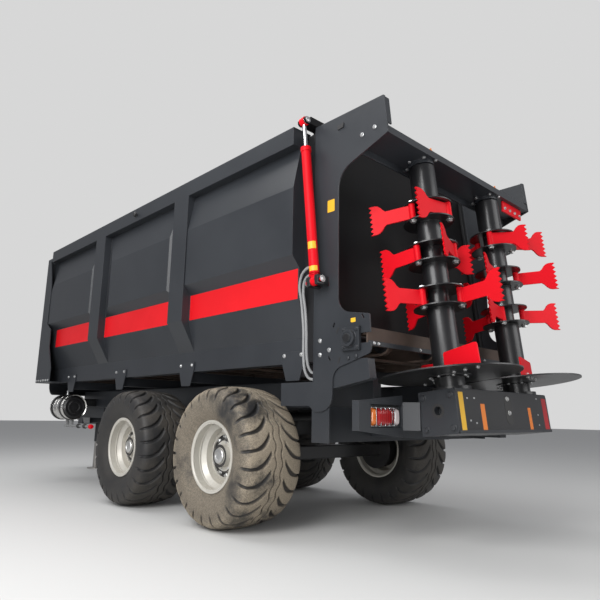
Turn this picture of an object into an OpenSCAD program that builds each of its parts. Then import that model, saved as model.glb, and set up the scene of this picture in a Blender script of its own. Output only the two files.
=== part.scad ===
// Towed solid-fertilizer spreader: hopper with a chain floor, rear door,
// two leaning vertical beaters over spreading discs, and a tandem axle.
// Lengths are in millimetres. X is measured forward from the rear axle, then shifted to the part's frame.

/* [Running gear] */
// Outer diameter of the tyres, over the tread
tyre_d = 1180; // [1100:5:1240]
// Section width of the tyres
tyre_w = 600; // [520:5:640]
// Radius of a tyre's shoulders
shoulder_r = 105; // [80:1:120]
// Number of lugs on each shoulder of a tyre
lug_count = 22; // [16:1:26]
// Depth of the grooves between the lugs
tread_d = 20; // [12:1:24]
// Width of a groove between two lugs
groove_w = 26; // [18:1:30]
// Slant of the grooves across the tread
groove_slant = 24; // [10:1:30]
// Width of the ribs in the middle of the tread
rib_w = 170; // [140:2:200]
// Bead seat diameter of the rims
rim_d = 572; // [540:2:600]
// Width of a rim between its flanges
rim_w = 500; // [440:5:520]
// Thickness of the rim flanges
lip_t = 12; // [8:1:16]
// Height of the rim flanges over the bead seats
lip_h = 13; // [10:1:16]
// Wall of a rim
rim_wall = 14; // [10:1:16]
// Width of a bead seat
seat_w = 80; // [70:2:90]
// Depth of the rim's well below its bead seats
well_d = 38; // [30:1:44]
// Depth of the wheel disc behind the outer flange
dish_d = 180; // [160:5:200]
// Radius of the wheel disc's raised ring
ring_r = 195; // [185:1:205]
// Radius of the wheel hubs
hub_r = 136; // [120:1:145]
// Distance between the wheel centre planes
track = 2210; // [2150:5:2300]
// Distance between the two axles
axle_gap = 1622; // [1500:2:1700]
// Side of the square axle beams
axle_side = 130; // [110:5:150]
// Radius of the stub axles
stub_r = 45; // [35:1:55]
// Radius of the brake drums
drum_r = 190; // [150:5:220]
// Width of the leaf springs
leaf_w = 90; // [70:5:100]
// Thickness of one spring leaf
leaf_t = 16; // [12:1:20]
// Number of leaves in a spring
leaf_count = 5; // [3:1:6]

/* [Chassis] */
// Distance between the centre lines of the chassis rails
rail_gap = 1140; // [1100:5:1160]
// Width of a chassis rail
rail_w = 100; // [80:5:110]
// Height of a chassis rail
rail_h = 240; // [200:5:260]
// Height of the rails' top face above the ground
rail_top = 1245; // [1235:1:1260]
// Distance of the rails' front end behind the body's front
rail_inset = 190; // [160:5:290]
// Width of the cross members between the rails
member_w = 80; // [60:5:100]
// Height of the cross bearers between rails and sills
bearer_h = 99; // [80:1:110]
// Width of a cross bearer
bearer_w = 90; // [70:5:110]
// Thickness of the bearers' end brackets
bracket_t = 12; // [8:1:16]
// Width of an end bracket at its top
bracket_w = 270; // [220:5:300]
// Distance of the gear beam's two arms from the middle plane
arm_y = 450; // [400:5:500]
// Width of a gear beam arm
arm_side = 100; // [80:5:120]
// Height of a gear beam arm
arm_h = 200; // [160:5:210]
// Section side of the rear cross beam along the machine
tail_beam_l = 180; // [150:5:220]
// Height of the rear cross beam
tail_beam_h = 265; // [220:5:280]
// Rear end of the rear cross beam's cheeks, behind the rear axle
tail_beam_x = 1160; // [1130:5:1180]
// Depth of the rear cross beam's closed tube
tail_tube_l = 60; // [50:5:90]

/* [Drawbar] */
// Centre of the tow eye, from the rear axle
eye_x = 5950; // [5800:10:6100]
// Height of the tow eye's centre
eye_z = 830; // [780:5:860]
// Radius of the tow eye's bore
eye_bore_r = 25; // [20:0.5:28]
// Outer radius of the tow eye
eye_r = 60; // [50:1:70]
// Thickness of the tow eye
eye_t = 42; // [30:1:50]
// Height of the drawbar beams
draw_h = 140; // [120:5:160]
// Width of the drawbar beams
draw_w = 100; // [80:5:110]
// Lap of the drawbar beams under the rails
draw_lap = 700; // [600:10:800]
// Length of the drawbar head
head_l = 180; // [150:5:220]
// Radius of the parking jack's leg
jack_r = 42; // [35:1:48]
// Wall of the parking jack's sleeve
jack_wall = 10; // [8:1:14]
// Radius of the parking jack's foot
foot_r = 130; // [110:5:160]
// Radius of the drive shaft that faces the tractor
pto_r = 17.45; // [15:0.05:22]

/* [Body] */
// Length of the hopper sides, over all
body_l = 5475; // [5400:5:5500]
// Rear end of the hopper sides, behind the rear axle
body_rear = 885; // [870:1:890]
// Width over the posts and top rails
body_w = 2576; // [2540:2:2600]
// Width between the inner faces of the sides
inner_w = 2180; // [2140:2:2190]
// Width over the sills
sill_w = 2234; // [2220:2:2240]
// Width of a sill
sill_t = 117; // [100:1:130]
// Height of a sill
sill_h = 196; // [180:2:210]
// Height of the top rails' top face above the ground
body_top = 3298; // [3280:2:3310]
// Height of a top rail
top_rail_h = 158; // [140:2:180]
// Height of the bend where the side turns inward, above the ground
bend_z = 1838; // [1810:2:1860]
// Depth of the panels behind the posts
panel_recess = 88; // [70:1:95]
// Height of the painted band above the bend
band_h = 262; // [230:2:280]
// Height the pressed panels stand out of their plane
press_h = 80; // [50:1:84]
// Height of the pressed panels' upper crease above the ground
crease_z = 2765; // [2700:5:2800]
// Height of the bevel under the pressed panels
press_bevel = 92; // [70:2:120]
// Width of the middle posts
post_w = 270; // [240:5:290]
// Front end of the top rails behind the body's front
rail_setback = 157; // [120:1:180]
// Width of the front corner plates at their foot
corner_w = 530; // [480:5:560]
// Thickness of the front corner plates
sheet_t = 12; // [8:1:14]
// Radius of the skirt under the front wall
skirt_r = 165; // [140:5:170]
// Thickness of the front wall
front_t = 80; // [60:5:100]
// Thickness of the floor plate
floor_t = 12; // [8:1:16]

/* [Chain floor] */
// Height of the drive shaft above the ground
drive_z = 1485; // [1480:1:1490]
// Distance of the drive shaft behind the rear axle
drive_x = 1396; // [1380:2:1410]
// Radius of the drive shaft
drive_r = 30; // [25:1:34]
// Pitch radius of the chain wheels
wheel_r = 78; // [74:1:82]
// Thickness of the chains
chain_t = 16; // [12:1:18]
// Width of the chains
chain_w = 40; // [30:1:50]
// Number of slats on each run of the floor
slat_count = 15; // [10:1:20]
// Width of a slat along the machine
slat_w = 50; // [40:1:60]
// Height of a slat above its chain
slat_h = 18; // [12:1:20]
// Front face of the guard behind the chain wheels, behind the rear axle
guard_x = 1518; // [1514:1:1524]
// Height of that guard
guard_h = 132; // [110:2:140]
// Height of the guard's lower edge above the ground
guard_z = 1430; // [1425:1:1440]
// Thickness of the guard
guard_t = 14; // [10:1:18]
// Length of a slat across the machine
slat_l = 880; // [820:5:900]

/* [Rear frame] */
// Thickness of the rear side plates
plate_t = 12; // [8:1:15]
// Width over the rear side plates
plate_w = 2294; // [2280:2:2300]
// Height of the top of the side plates above the ground
plate_top = 3297; // [3290:1:3300]
// Rear top corner of the side plates, behind the rear axle
plate_x = 1720; // [1700:2:1740]
// Rear tip of the top beam's underside, behind the rear axle
tip_x = 1751; // [1745:1:1760]
// Height of that tip above the ground
tip_z = 2984; // [2975:1:2990]
// Front edge of the side plates' window, behind the rear axle
window_x = 1257; // [1240:1:1270]
// Height of the window's upper front corner above the ground
window_top = 2811; // [2780:1:2830]
// Height of the window's lower front corner above the ground
window_low = 1706; // [1690:1:1720]
// Rear edge of the side plates' bearing lugs, behind the rear axle
lug_x = 1572; // [1565:1:1590]
// Height of the lugs' lower rear corner above the ground
lug_low = 1376; // [1366:1:1386]
// Rear edge of the side plates' feet, behind the rear axle
foot_x = 1198; // [1180:1:1210]
// Height of the side plates' lower edge above the ground
foot_z = 966; // [960:1:975]
// Thickness of the gear beam's end plates
end_t = 12; // [8:1:16]
// Depth of the end plates' holes below the discs, along the rotor axes
end_hole_s = 253.5; // [245:0.5:262]
// Lean of beaters and door, forward at the top
lean = 6.07; // [4:0.01:8]
// Depth of the top cross beam
top_beam_l = 280; // [240:5:320]
// Height of the top cross beam
top_beam_h = 60; // [40:5:90]
// Depth of the lip that hangs under the top beam's front edge
beam_lip = 55; // [40:5:70]
// Width of the edges that are folded inward on the side plates
fold_w = 45; // [30:1:60]
// Depth of the gear beam, across the rotor axes
gear_beam_l = 300; // [280:2:330]
// Width of the gear beam across the machine
gear_beam_w = 1462; // [1440:2:1480]
// Height of the gear beam along the rotor axes
gear_beam_h = 310; // [290:2:320]
// Distance of the gear beam's top below the discs
gear_drop = 110; // [100:1:120]
// Radius of the holes in the gear beam's ends
end_hole_r = 30; // [24:0.5:32]
// Depth of those holes
end_hole_d = 60; // [40:5:80]
// Front edge of the side plates, behind the rear axle
plate_front = 1000; // [985:1:1015]
// Thickness of the folded rear arms
arm_t = 12; // [8:1:14]
// Width of the rear arms
arm_w = 75; // [60:1:75]

/* [Beaters] */
// Distance of the disc centres behind the rear axle
rotor_x = 1798; // [1790:2:1810]
// Distance of each beater from the middle plane
rotor_y = 530; // [528:1:534]
// Height of the disc centres above the ground
rotor_z = 1236; // [1230:1:1240]
// Radius of the spreading discs
disc_r = 520; // [480:1:524]
// Thickness of the spreading discs
disc_t = 10; // [6:1:14]
// Radius of the beater tubes
tube_r = 78; // [70:1:84]
// Radius of the wider sleeves between the blade levels
sleeve_r = 98; // [94:1:106]
// Radius of the blade flanges
flange_r = 198; // [190:1:205]
// Thickness of a blade flange
flange_t = 10; // [8:1:12]
// Gap between the two flanges of a level
flange_gap = 130; // [110:2:140]
// Radius of the circle of blade bolts
bolt_circle_r = 165; // [155:1:168]
// Radius of a blade bolt
bolt_r = 12; // [10:0.5:14]
// Length of a blade from its bolt to its teeth
blade_l = 350; // [300:2:354]
// Height of a blade at its teeth
blade_tip_h = 212; // [180:2:230]
// Height of a blade at its neck
blade_neck_h = 96; // [80:2:110]
// Thickness of a blade
blade_t = 12; // [8:1:14]
// Number of teeth on a blade
tooth_count = 6; // [4:1:8]
// Depth of the teeth
tooth_d = 24; // [16:1:30]
// Height of the disc vanes
vane_h = 165; // [140:1:180]
// Number of vanes on a disc
vane_count = 4; // [2:1:6]
// Turn of the first vane about the rotor's axis
vane_turn = 55; // [0:1:90]
// Distance of a vane's inner end from the rotor's axis
vane_in = 140; // [130:1:160]
// Thickness of the disc vanes
vane_t = 10; // [8:1:12]
// Radius of the rotors' bearing pins
rotor_pin_r = 38; // [34:1:42]

/* [Door] */
// Thickness of the rear door
door_t = 60; // [50:1:70]
// Play of the rear door beside each side plate
door_play = 35; // [25:1:40]
// Length of the channels in which the door runs
guide_l = 1660; // [1600:5:1680]
// Wall of those channels
guide_wall = 24; // [16:1:26]
// Depth of the door's edges in the channels
guide_lap = 20; // [12:1:24]
// Skin of the rear door
door_skin = 10; // [6:1:14]
// Width of the rear door's ribs
door_rib = 70; // [50:2:90]
// Number of bays between the door's upright ribs
door_bays = 4; // [3:1:6]
// Stroke of the door's cylinders
door_stroke = 980; // [900:5:990]
// Height of the closed door's lower edge above the ground
door_z = 1604; // [1602:1:1612]
// Height of the door's top beam
door_beam_h = 70; // [60:2:80]
// Distance of the door's upper pins behind the rear axle
pin_x = 954; // [945:1:965]
// Height of the door's upper pins above the ground
pin_z = 3336; // [3300:1:3340]
// Height of the cylinders' lower pins above the ground
cyl_foot_z = 1945; // [1930:1:1950]
// Height of the barrels' upper ends above the ground
barrel_top_z = 3092; // [3080:1:3110]
// Face of the cylinders' hose ports, behind the rear axle
port_x = 1046; // [1044:0.5:1050]
// Outer radius of the cylinder barrels
barrel_r = 32; // [29:0.5:36]
// Radius of the cylinder rods
rod_r = 18; // [15:0.5:22]
// Distance of the cylinders from the middle plane
cyl_y = 1237; // [1230:1:1245]

/* [Lamps and tank] */
// Front face of the lamp panels, behind the rear axle
lamp_x = 1514; // [1500:2:1520]
// Depth of the lamp panels
lamp_panel_t = 60; // [50:1:70]
// Height of the lamps' middle above the ground
lamp_z = 943; // [935:1:950]
// Width of a lamp
lamp_w = 330; // [300:2:340]
// Height of a lamp
lamp_h = 124; // [110:2:130]
// Outer end of the lamp panels, from the middle plane
lamp_panel_y = 1285; // [1250:5:1300]
// Height of the lamp panels
lamp_panel_h = 200; // [180:2:210]
// Radius of the air tank
tank_r = 170; // [140:2:175]
// Length of the air tank
tank_l = 1480; // [1300:10:1500]

// Radius of the cylinders' hoses
hose_r = 11; // [8:0.5:13]

/* [Fits] */
// Radial play of a turning or sliding fit
running_play = 0.05; // [0.02:0.01:0.1]
// Gap between seated pieces
seat_gap = 0.3; // [0.2:0.05:0.5]
// Gap beside a moving piece
moving_gap = 6; // [5.5:0.5:8]

/* [Hidden] */
$fn = 96;
eps = 1;
arc_steps = 6;

tyre_r = tyre_d / 2;
wheel_y = track / 2;
rail_y = rail_gap / 2;
rail_bot = rail_top - rail_h;
sill_bot = rail_top + bearer_h;
sill_top = sill_bot + sill_h;
body_front = body_l - body_rear;
rail_front = body_front - rail_inset;
rail_l = rail_front + tail_beam_x;
half_w = body_w / 2;
inner_y = inner_w / 2;
sill_y = sill_w / 2;
panel_y = half_w - panel_recess;
band_top = bend_z + band_h;
rail_low = body_top - top_rail_h;
plate_y = plate_w / 2;
plate_in = plate_y - plate_t;
tail_front = -tail_beam_x + tail_beam_l;
tail_rear = tail_front - tail_tube_l;
tail_bot = rail_bot - tail_beam_h;
gear_y = gear_beam_w / 2;
chain_top_z = drive_z + wheel_r + chain_t;
chain_bot_z = drive_z - wheel_r - chain_t;
idler_x = body_front - front_t - 180;
door_w = 2 * (plate_in - door_play);
rail_end = body_front - rail_setback;
barrel_in = rim_d / 2 - well_d - rim_wall;
disc_y = rim_w / 2 - dish_d;

// Stations of the four cross bearers, as shares of the body's length from its rear end
bearer_share = [0.8338, 0.5708, 0.3096, 0.0247];
bearer_x = [for (share = bearer_share) share * body_l - body_rear];
// Rear edges of the two middle posts, as shares of the body's length
post_share = [0.6402, 0.2893];
post_x = [for (share = post_share) share * body_l - body_rear];
// Stations of the cross members, as shares of the rails' length
member_share = [0.9892, 0.7374, 0.4496, 0.2698, 0.1259];
member_x = [for (share = member_share) share * rail_l - tail_beam_x];
// The members that carry the drive line's hangers
hanger_members = [0, 2, 4];
// Pressed panels: rear end, front end, rear bevel, front bevel, radius of the upper front corner
bays = [[post_x[0] + post_w, rail_end - 30, 75, 50, 120],
        [post_x[1] + post_w, post_x[0], 70, 220, 0],
        [-body_rear, post_x[1], 0, 10, 0]];

// Rotor lengths along the leaning axis, from the disc's lower face
beam_s = (rotor_x - tip_x) * sin(lean) + (tip_z - rotor_z) * cos(lean);
hub_top = disc_t + 60;
level_s = [1290, 940, 588];
low_flange_s = level_s[2] - flange_gap / 2 - flange_t;
// Each blade: level, bolt angle, direction of the blade
left_blades = [[0, 78, 20], [0, 198, 80], [0, 318, 300],
               [1, 78, 0], [1, 198, 108], [1, 318, 218],
               [2, 78, 72], [2, 198, 176], [2, 318, 342]];
right_blades = [[0, 110, 228], [0, 230, 236], [0, 350, 330],
                [1, 110, 104], [1, 230, 216], [1, 350, 330],
                [2, 110, 100], [2, 230, 236], [2, 350, 340]];

// Rear arms' side view: X, Z of the upper rear, lower rear, lower front and upper front corner
arm_rows = [[-lug_x + 42, lug_low - 33], [-lug_x + 24, lug_low - 181], [-foot_x + 28, lug_low - 246],
  [-foot_x + 28, lug_low - 33]];
// Side plate's outline: X, Z, corner radius
plate_rows = [[-plate_front, plate_top, 0], [-plate_x, plate_top, 15], [-tip_x, tip_z, 6],
  [-window_x, window_top, 190], [-window_x, window_low, 130], [12 - lug_x, window_low - 52, 14],
  [-lug_x, lug_low, 45], [-foot_x - 8, lug_low - 106, 105], [-foot_x, foot_z, 130],
  [-plate_front - 20, foot_z, 10], [40 - plate_front, rail_bot + 5, 10], [360 - plate_front, rail_bot + 5, 0],
  [360 - plate_front, rail_bot + 185, 0], [-plate_front, rail_bot + 185, 0]];
// Front corner plate's outline: distance behind the front, Z, corner radius
corner_rows = [[0, sill_bot, 15], [0, rail_low + 60, 12], [rail_setback + 20, rail_low + 60, 0],
  [rail_setback - 40, rail_low, 0], [226, crease_z, 30], [222, band_top + press_bevel, 30],
  [372, band_top, 20], [392, bend_z, 20], [corner_w, sill_top, 0], [corner_w, sill_bot, 0]];

// Middle lines of the two hoses beside a cylinder, from its ports to the side plate's front edge
hose_routes = [
  [[-1060, 1237, 2060], [-1020, 1240, 2062], [-950, 1232, 2020], [-912, 1218, 1930], [-924, 1208, 1820],
   [-946, 1200, 1600], [-944, 1196, 1420], [-946, 1186, 1290], [-962, 1160, 1224], [-995, 1141, 1208],
   [-1020, 1141, 1206]],
  [[-1060, 1237, 1995], [-1030, 1240, 1996], [-975, 1228, 1960], [-950, 1212, 1870], [-966, 1204, 1740],
   [-976, 1198, 1560], [-974, 1194, 1420], [-974, 1178, 1320], [-982, 1152, 1268], [-1000, 1141, 1258],
   [-1020, 1141, 1256]]];

door_x = -pin_x - (pin_z - door_z) * tan(lean);
eye_s = (pin_z - door_z) / cos(lean);
cyl_foot_s = (cyl_foot_z - door_z) / cos(lean);
barrel_top_s = (barrel_top_z - door_z) / cos(lean);

head_x = eye_x - 380;
head_y = draw_w + 25;
jack_x = head_x + head_l / 2;
jack_y = head_y + jack_r + jack_wall + 30;
pto_z = 930;

tank_x = body_front - 930;
tank_y = 968;
tank_z = 1008;

x_front = eye_x + eye_r;
x_rear = -rotor_x - disc_r * cos(lean);
origin_x = -(x_front + x_rear) / 2;

paint = [0.20, 0.21, 0.22];
dark = [0.10, 0.10, 0.11];
red = [0.80, 0.05, 0.05];
steel = [0.62, 0.62, 0.60];
rim_paint = [0.72, 0.71, 0.67];
rubber = [0.09, 0.09, 0.09];

// Places children in the part's frame
module framed() translate([origin_x, 0, 0]) children();

// Mirrors children to the right side when side is -1
module sided(side) mirror([0, side < 0 ? 1 : 0, 0]) children();

// A box given by its lowest and highest corners
module span(low, high) translate(low) cube(high - low);

// Places children on a rotor's leaning axis, at the disc's lower face
module on_rotor(side) translate([-rotor_x, side * rotor_y, rotor_z]) rotate([0, lean, 0]) children();

// Places children on the door's leaning slide
module on_door() translate([door_x, 0, door_z]) rotate([0, lean, 0]) children();

// A cylinder along Y
module y_rod(r, low, high) translate([0, low, 0]) rotate([-90, 0, 0]) cylinder(r = r, h = high - low);

// A cylinder along X
module x_rod(r, low, high) translate([low, 0, 0]) rotate([0, 90, 0]) cylinder(r = r, h = high - low);

// A rectangle with round corners, centred on X, standing on Y = 0
module soft_rect(w, h, r) {
  translate([-w / 2 + r, 0]) square([w - 2 * r, h]);
  translate([-w / 2, r]) square([w, h - 2 * r]);
  for (x = [-w / 2 + r, w / 2 - r], y = [r, h - r]) translate([x, y]) circle(r);
}

// A beam along X with round edges, from the middle of its lower face
module x_beam(x0, x1, y, z, w, h, r) translate([x0, y, z]) rotate([90, 0, 90]) linear_extrude(x1 - x0)
  soft_rect(w, h, r);

// A plate in the XZ plane whose outer face lies at y
module side_sheet(y, t, points) translate([0, y, 0]) rotate([90, 0, 0]) linear_extrude(t) polygon(points);

// Points along the arc that rounds the corner b between a and c
function corner_arc(a, b, c, r) =
  let (u = (a - b) / norm(a - b),
       v = (c - b) / norm(c - b),
       half = acos(u * v) / 2,
       mid = b + (u + v) / norm(u + v) * r / sin(half),
       from = b + u * r / tan(half) - mid,
       to = b + v * r / tan(half) - mid,
       start = atan2(from[1], from[0]),
       turn = atan2(from[0] * to[1] - from[1] * to[0], from * to))
  [for (i = [0:arc_steps]) mid + r * [cos(start + turn * i / arc_steps), sin(start + turn * i / arc_steps)]];

// An outline from rows of corner X, corner Y and corner radius
function outline(rows) = [for (i = [0:len(rows) - 1])
  let (n = len(rows), a = rows[(i + n - 1) % n], b = rows[i], c = rows[(i + 1) % n])
  each b[2] > 0 ? corner_arc([a[0], a[1]], [b[0], b[1]], [c[0], c[1]], b[2]) : [[b[0], b[1]]]];

// A route with two points added in each stretch, on a smooth curve through its points
function smoothed(route) = [for (i = [0:len(route) - 2], k = [0:2])
  let (t = k / 3, a = route[max(i - 1, 0)], b = route[i], c = route[i + 1], d = route[min(i + 2, len(route) - 1)])
  b + t / 2 * ((c - a) + t * ((2 * a - 5 * b + 4 * c - d) + t * (3 * b - a - 3 * c + d))), route[len(route) - 1]];

// A round tube along a route
module tube(route, r, sides) {
  line = smoothed(route);
  last = len(line) - 1;
  rings = [for (i = [0:last])
    let (d = line[min(i + 1, last)] - line[max(i - 1, 0)],
         u = cross(d, [0, 1, 0]) / norm(cross(d, [0, 1, 0])),
         v = cross(d, u) / norm(d))
    each [for (k = [0:sides - 1]) line[i] + r * (cos(k * 360 / sides) * u + sin(k * 360 / sides) * v)]];
  walls = [for (i = [0:last - 1], k = [0:sides - 1])
    let (a = i * sides + k, b = i * sides + (k + 1) % sides)
    each [[a, a + sides, b + sides], [a, b + sides, b]]];
  polyhedron(rings, concat([[for (k = [0:sides - 1]) k]], walls,
    [[for (k = [0:sides - 1]) last * sides + sides - 1 - k]]));
}

// The gear beam's plain block, square to the rotor axes
module gear_block(grow) translate([-rotor_x, 0, rotor_z]) rotate([0, lean, 0])
  span([-gear_beam_l / 2 - grow, -gear_y - grow, -gear_drop - gear_beam_h - grow],
    [gear_beam_l / 2 + grow, gear_y + grow, grow - gear_drop]);

// Chassis

module chassis_rail(side) framed() sided(side)
  x_beam(-tail_beam_x, rail_front, rail_y, rail_bot, rail_w, rail_h, 14);
module chassis_rails() color(paint) for (side = [1, -1]) chassis_rail(side);

module chassis_crossmembers() color(paint) framed()
  for (x = member_x)
    span([x - member_w / 2, -rail_y + rail_w / 2, rail_bot + 60], [x + member_w / 2, rail_y - rail_w / 2, rail_top - 30]);

// One bearer with its tapered end brackets
module cross_bearer(x) {
  span([x - bearer_w / 2, -sill_y, rail_top], [x + bearer_w / 2, sill_y, sill_bot]);
  for (side = [1, -1]) sided(side) translate([x, sill_y + bracket_t, 0]) rotate([90, 0, 0])
    linear_extrude(bracket_t) polygon([[-bracket_w / 2, sill_bot + 95], [bracket_w / 2, sill_bot + 95],
      [bracket_w / 2, sill_bot + 30], [bracket_w * 0.28, rail_top - 38],
      [-bracket_w * 0.28, rail_top - 38], [-bracket_w / 2, sill_bot + 30]]);
}
module cross_bearers() color(paint) framed() for (x = bearer_x) cross_bearer(x);

// The rear cross beam: a closed tube with cheeks that run back along the side plates
module tail_beam() color(paint) framed() {
  span([tail_rear, -plate_in, tail_bot], [tail_front, plate_in, rail_bot]);
  for (side = [1, -1]) sided(side)
    span([-tail_beam_x, plate_in - end_t, tail_bot], [tail_rear + eps, plate_in, rail_bot]);
}

module gear_arms() color(paint) framed() for (side = [1, -1]) sided(side) difference() {
  span([-rotor_x, arm_y - arm_side / 2, tail_bot + 40], [tail_rear, arm_y + arm_side / 2, tail_bot + 40 + arm_h]);
  gear_block(0);
  span([-2 * rotor_x, 0, 0], [-rotor_x + gear_beam_l / 3, half_w, rotor_z]);
}

// Axles and springs

module axle(x) translate([x, 0, tyre_r]) {
  inner = wheel_y - rim_w / 2 + 70;
  translate([0, inner, -axle_side / 2]) rotate([90, 0, 0]) linear_extrude(2 * inner) soft_rect(axle_side, axle_side, 14);
  for (side = [1, -1]) sided(side) {
    y_rod(stub_r, inner - eps, wheel_y + disc_y - 10);
    y_rod(drum_r, inner - 90, inner + 40);
    y_rod(drum_r + 14, inner - 90, inner - 76);
  }
}
module axles() color(dark) framed() for (x = [axle_gap, 0]) axle(x);

// A bogie spring: arched leaves over both axles, under a saddle on the rail
module spring(side) framed() sided(side) {
  $fn = 720;
  mid = axle_gap / 2;
  seat_z = tyre_r + axle_side / 2;
  rise = 70;
  arch_r = (pow(axle_gap / 2, 2) + pow(rise, 2)) / (2 * rise);
  centre_z = seat_z + rise - arch_r;
  for (i = [0:leaf_count - 1]) {
    half = (axle_gap / 2 + 60) * (1 - 0.16 * i);
    intersection() {
      translate([mid, rail_y, centre_z]) difference() {
        y_rod(arch_r + leaf_t * (i + 1), -leaf_w / 2, leaf_w / 2);
        y_rod(arch_r, -leaf_w / 2 - eps, leaf_w / 2 + eps);
      }
      span([mid - half, 0, seat_z], [mid + half, half_w, rail_bot]);
    }
  }
  span([mid - 110, rail_y - leaf_w / 2, seat_z + rise + leaf_t * leaf_count - 8],
    [mid + 110, rail_y + leaf_w / 2, rail_bot]);
}
module springs() color(dark) for (side = [1, -1]) spring(side);

// Drawbar

module drawbar_side(side) framed() sided(side) {
  span([rail_front - draw_lap, rail_y - draw_w / 2, rail_bot - draw_h], [rail_front, rail_y + draw_w / 2, rail_bot]);
  hull() {
    span([rail_front - 10, rail_y - draw_w / 2, rail_bot - draw_h], [rail_front, rail_y + draw_w / 2, rail_bot]);
    span([head_x - 10, 0, eye_z - draw_h / 2], [head_x, draw_w, eye_z + draw_h / 2]);
  }
}
module drawbar_beams() color(paint) for (side = [1, -1]) drawbar_side(side);

module drawbar_head() color(paint) framed()
  span([head_x, -head_y, eye_z - draw_h / 2 - 10], [head_x + head_l, head_y, eye_z + draw_h / 2 + 10]);

module tow_eye() color(steel) framed() translate([eye_x, 0, eye_z]) difference() {
  union() {
    cylinder(r = eye_r, h = eye_t, center = true);
    x_rod(eye_t * 0.6, head_x + head_l - eye_x, -eye_r + 20);
    x_rod(75, head_x + head_l - eye_x, head_x + head_l - eye_x + 25);
  }
  cylinder(r = eye_bore_r, h = 4 * eye_t, center = true);
}

module jack_sleeve() color(paint) framed() sided(-1) translate([jack_x, jack_y, 0]) {
  difference() {
    union() {
      translate([0, 0, 450]) cylinder(r = jack_r + jack_wall, h = 700);
      span([-60, head_y - jack_y, eye_z - 60], [60, 0, eye_z + 60]);
    }
    translate([0, 0, 450 - eps]) cylinder(r = jack_r + running_play, h = 680);
  }
}

module jack_leg() color(steel) framed() sided(-1) translate([jack_x, jack_y, 0]) {
  cylinder(r = foot_r, h = 15);
  cylinder(r = jack_r, h = 700);
}

module driveline() color(dark) framed() translate([0, 0, pto_z]) {
  x_rod(pto_r, rail_front + 60, rail_front + 180);
  x_rod(45, tail_front, rail_front + 60);
  difference() {
    x_rod(60, -rotor_x + gear_beam_l / 3, tail_rear);
    translate([0, 0, -pto_z]) gear_block(0);
  }
  for (i = hanger_members) span([member_x[i] - 25, -80, -60], [member_x[i] + 25, 80, rail_bot + 60 - pto_z]);
}

// Body

module sill(side) framed() sided(side)
  span([-body_rear, sill_y - sill_t, sill_bot], [body_front - front_t, sill_y, sill_top]);
module sills() color(paint) for (side = [1, -1]) sill(side);

// A stretch of the side's section, from its inner face out to the given depth
module side_section(outer, x0, x1) translate([x1, 0, 0]) rotate([90, 0, -90]) linear_extrude(x1 - x0)
  polygon([[-inner_y, sill_top], [-sill_y, sill_top], [-outer, bend_z], [-outer, body_top], [-inner_y, body_top]]);

// A pressed panel that fills a bay between its band and the top rail
module press(bay) hull() {
  corner = bay[4];
  translate([0, eps, 0]) side_sheet(panel_y, eps, outline([[bay[0], band_top, 0], [bay[1], band_top, 0],
    [bay[1], rail_low, corner], [bay[0], rail_low, 0]]));
  side_sheet(panel_y + press_h, eps, outline([[bay[0] + bay[2], band_top + press_bevel, 0],
    [bay[1] - bay[3], band_top + press_bevel, 0], [bay[1] - bay[3], crease_z, corner],
    [bay[0] + bay[2], crease_z, 0]]));
}

module side_wall(side) framed() sided(side) difference() {
  union() {
    side_section(panel_y, -body_rear, body_front);
    for (x = post_x) side_section(half_w, x, x + post_w);
    span([-body_rear, inner_y, rail_low], [rail_end, half_w, body_top]);
    side_sheet(half_w, sheet_t, outline([for (c = corner_rows) [body_front - c[0], c[1], c[2]]]));
    span([body_front - sheet_t, inner_y, sill_bot], [body_front, half_w - eps, rail_low + 60]);
    span([body_front - corner_w, sill_y, sill_bot], [body_front, half_w - eps, sill_bot + sheet_t]);
    for (b = bays) press(b);
  }
  span([rail_end, inner_y - eps, rail_low + 60], [body_front + eps, half_w + eps, body_top + eps]);
}
module side_wall_left() color(paint) side_wall(1);
module side_wall_right() color(paint) side_wall(-1);

module front_wall() color(paint) framed() {
  span([body_front - front_t, -inner_y, sill_bot], [body_front, inner_y, body_top]);
  translate([0, inner_y, 0]) rotate([90, 0, 0]) linear_extrude(inner_w)
    polygon([[body_front - front_t + eps, chain_top_z + 45], [body_front - front_t + eps, chain_top_z + 260],
      [idler_x - 120, chain_top_z + 75], [idler_x - 120, chain_top_z + 45]]);
  for (y = [-720, -240, 240, 720]) span([body_front - eps, y - 50, sill_bot], [body_front + 50, y + 50, body_top]);
  translate([body_front - skirt_r, inner_y, sill_bot]) rotate([90, 0, 0]) linear_extrude(inner_w) intersection() {
    difference() {
      circle(skirt_r);
      circle(skirt_r - sheet_t);
    }
    translate([0, -skirt_r]) square(skirt_r + eps);
  }
}

module floor_plate() color([0.35, 0.27, 0.23]) framed() {
  span([-body_rear, -sill_y + sill_t, sill_top - floor_t], [idler_x - wheel_r - 20, sill_y - sill_t, sill_top]);
  span([-drive_x + wheel_r + 20, -plate_in + arm_t, sill_top - floor_t], [-body_rear, plate_in - arm_t, sill_top]);
  span([-drive_x + wheel_r + 20, -30, sill_bot], [idler_x - wheel_r - 20, 30, sill_top - floor_t]);
}

// A cross guard between the side plates, behind the chain wheels
module floor_guard() color([0.35, 0.27, 0.23]) framed()
  span([-guard_x - guard_t, -plate_in, guard_z], [-guard_x, plate_in, guard_z + guard_h]);

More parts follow.
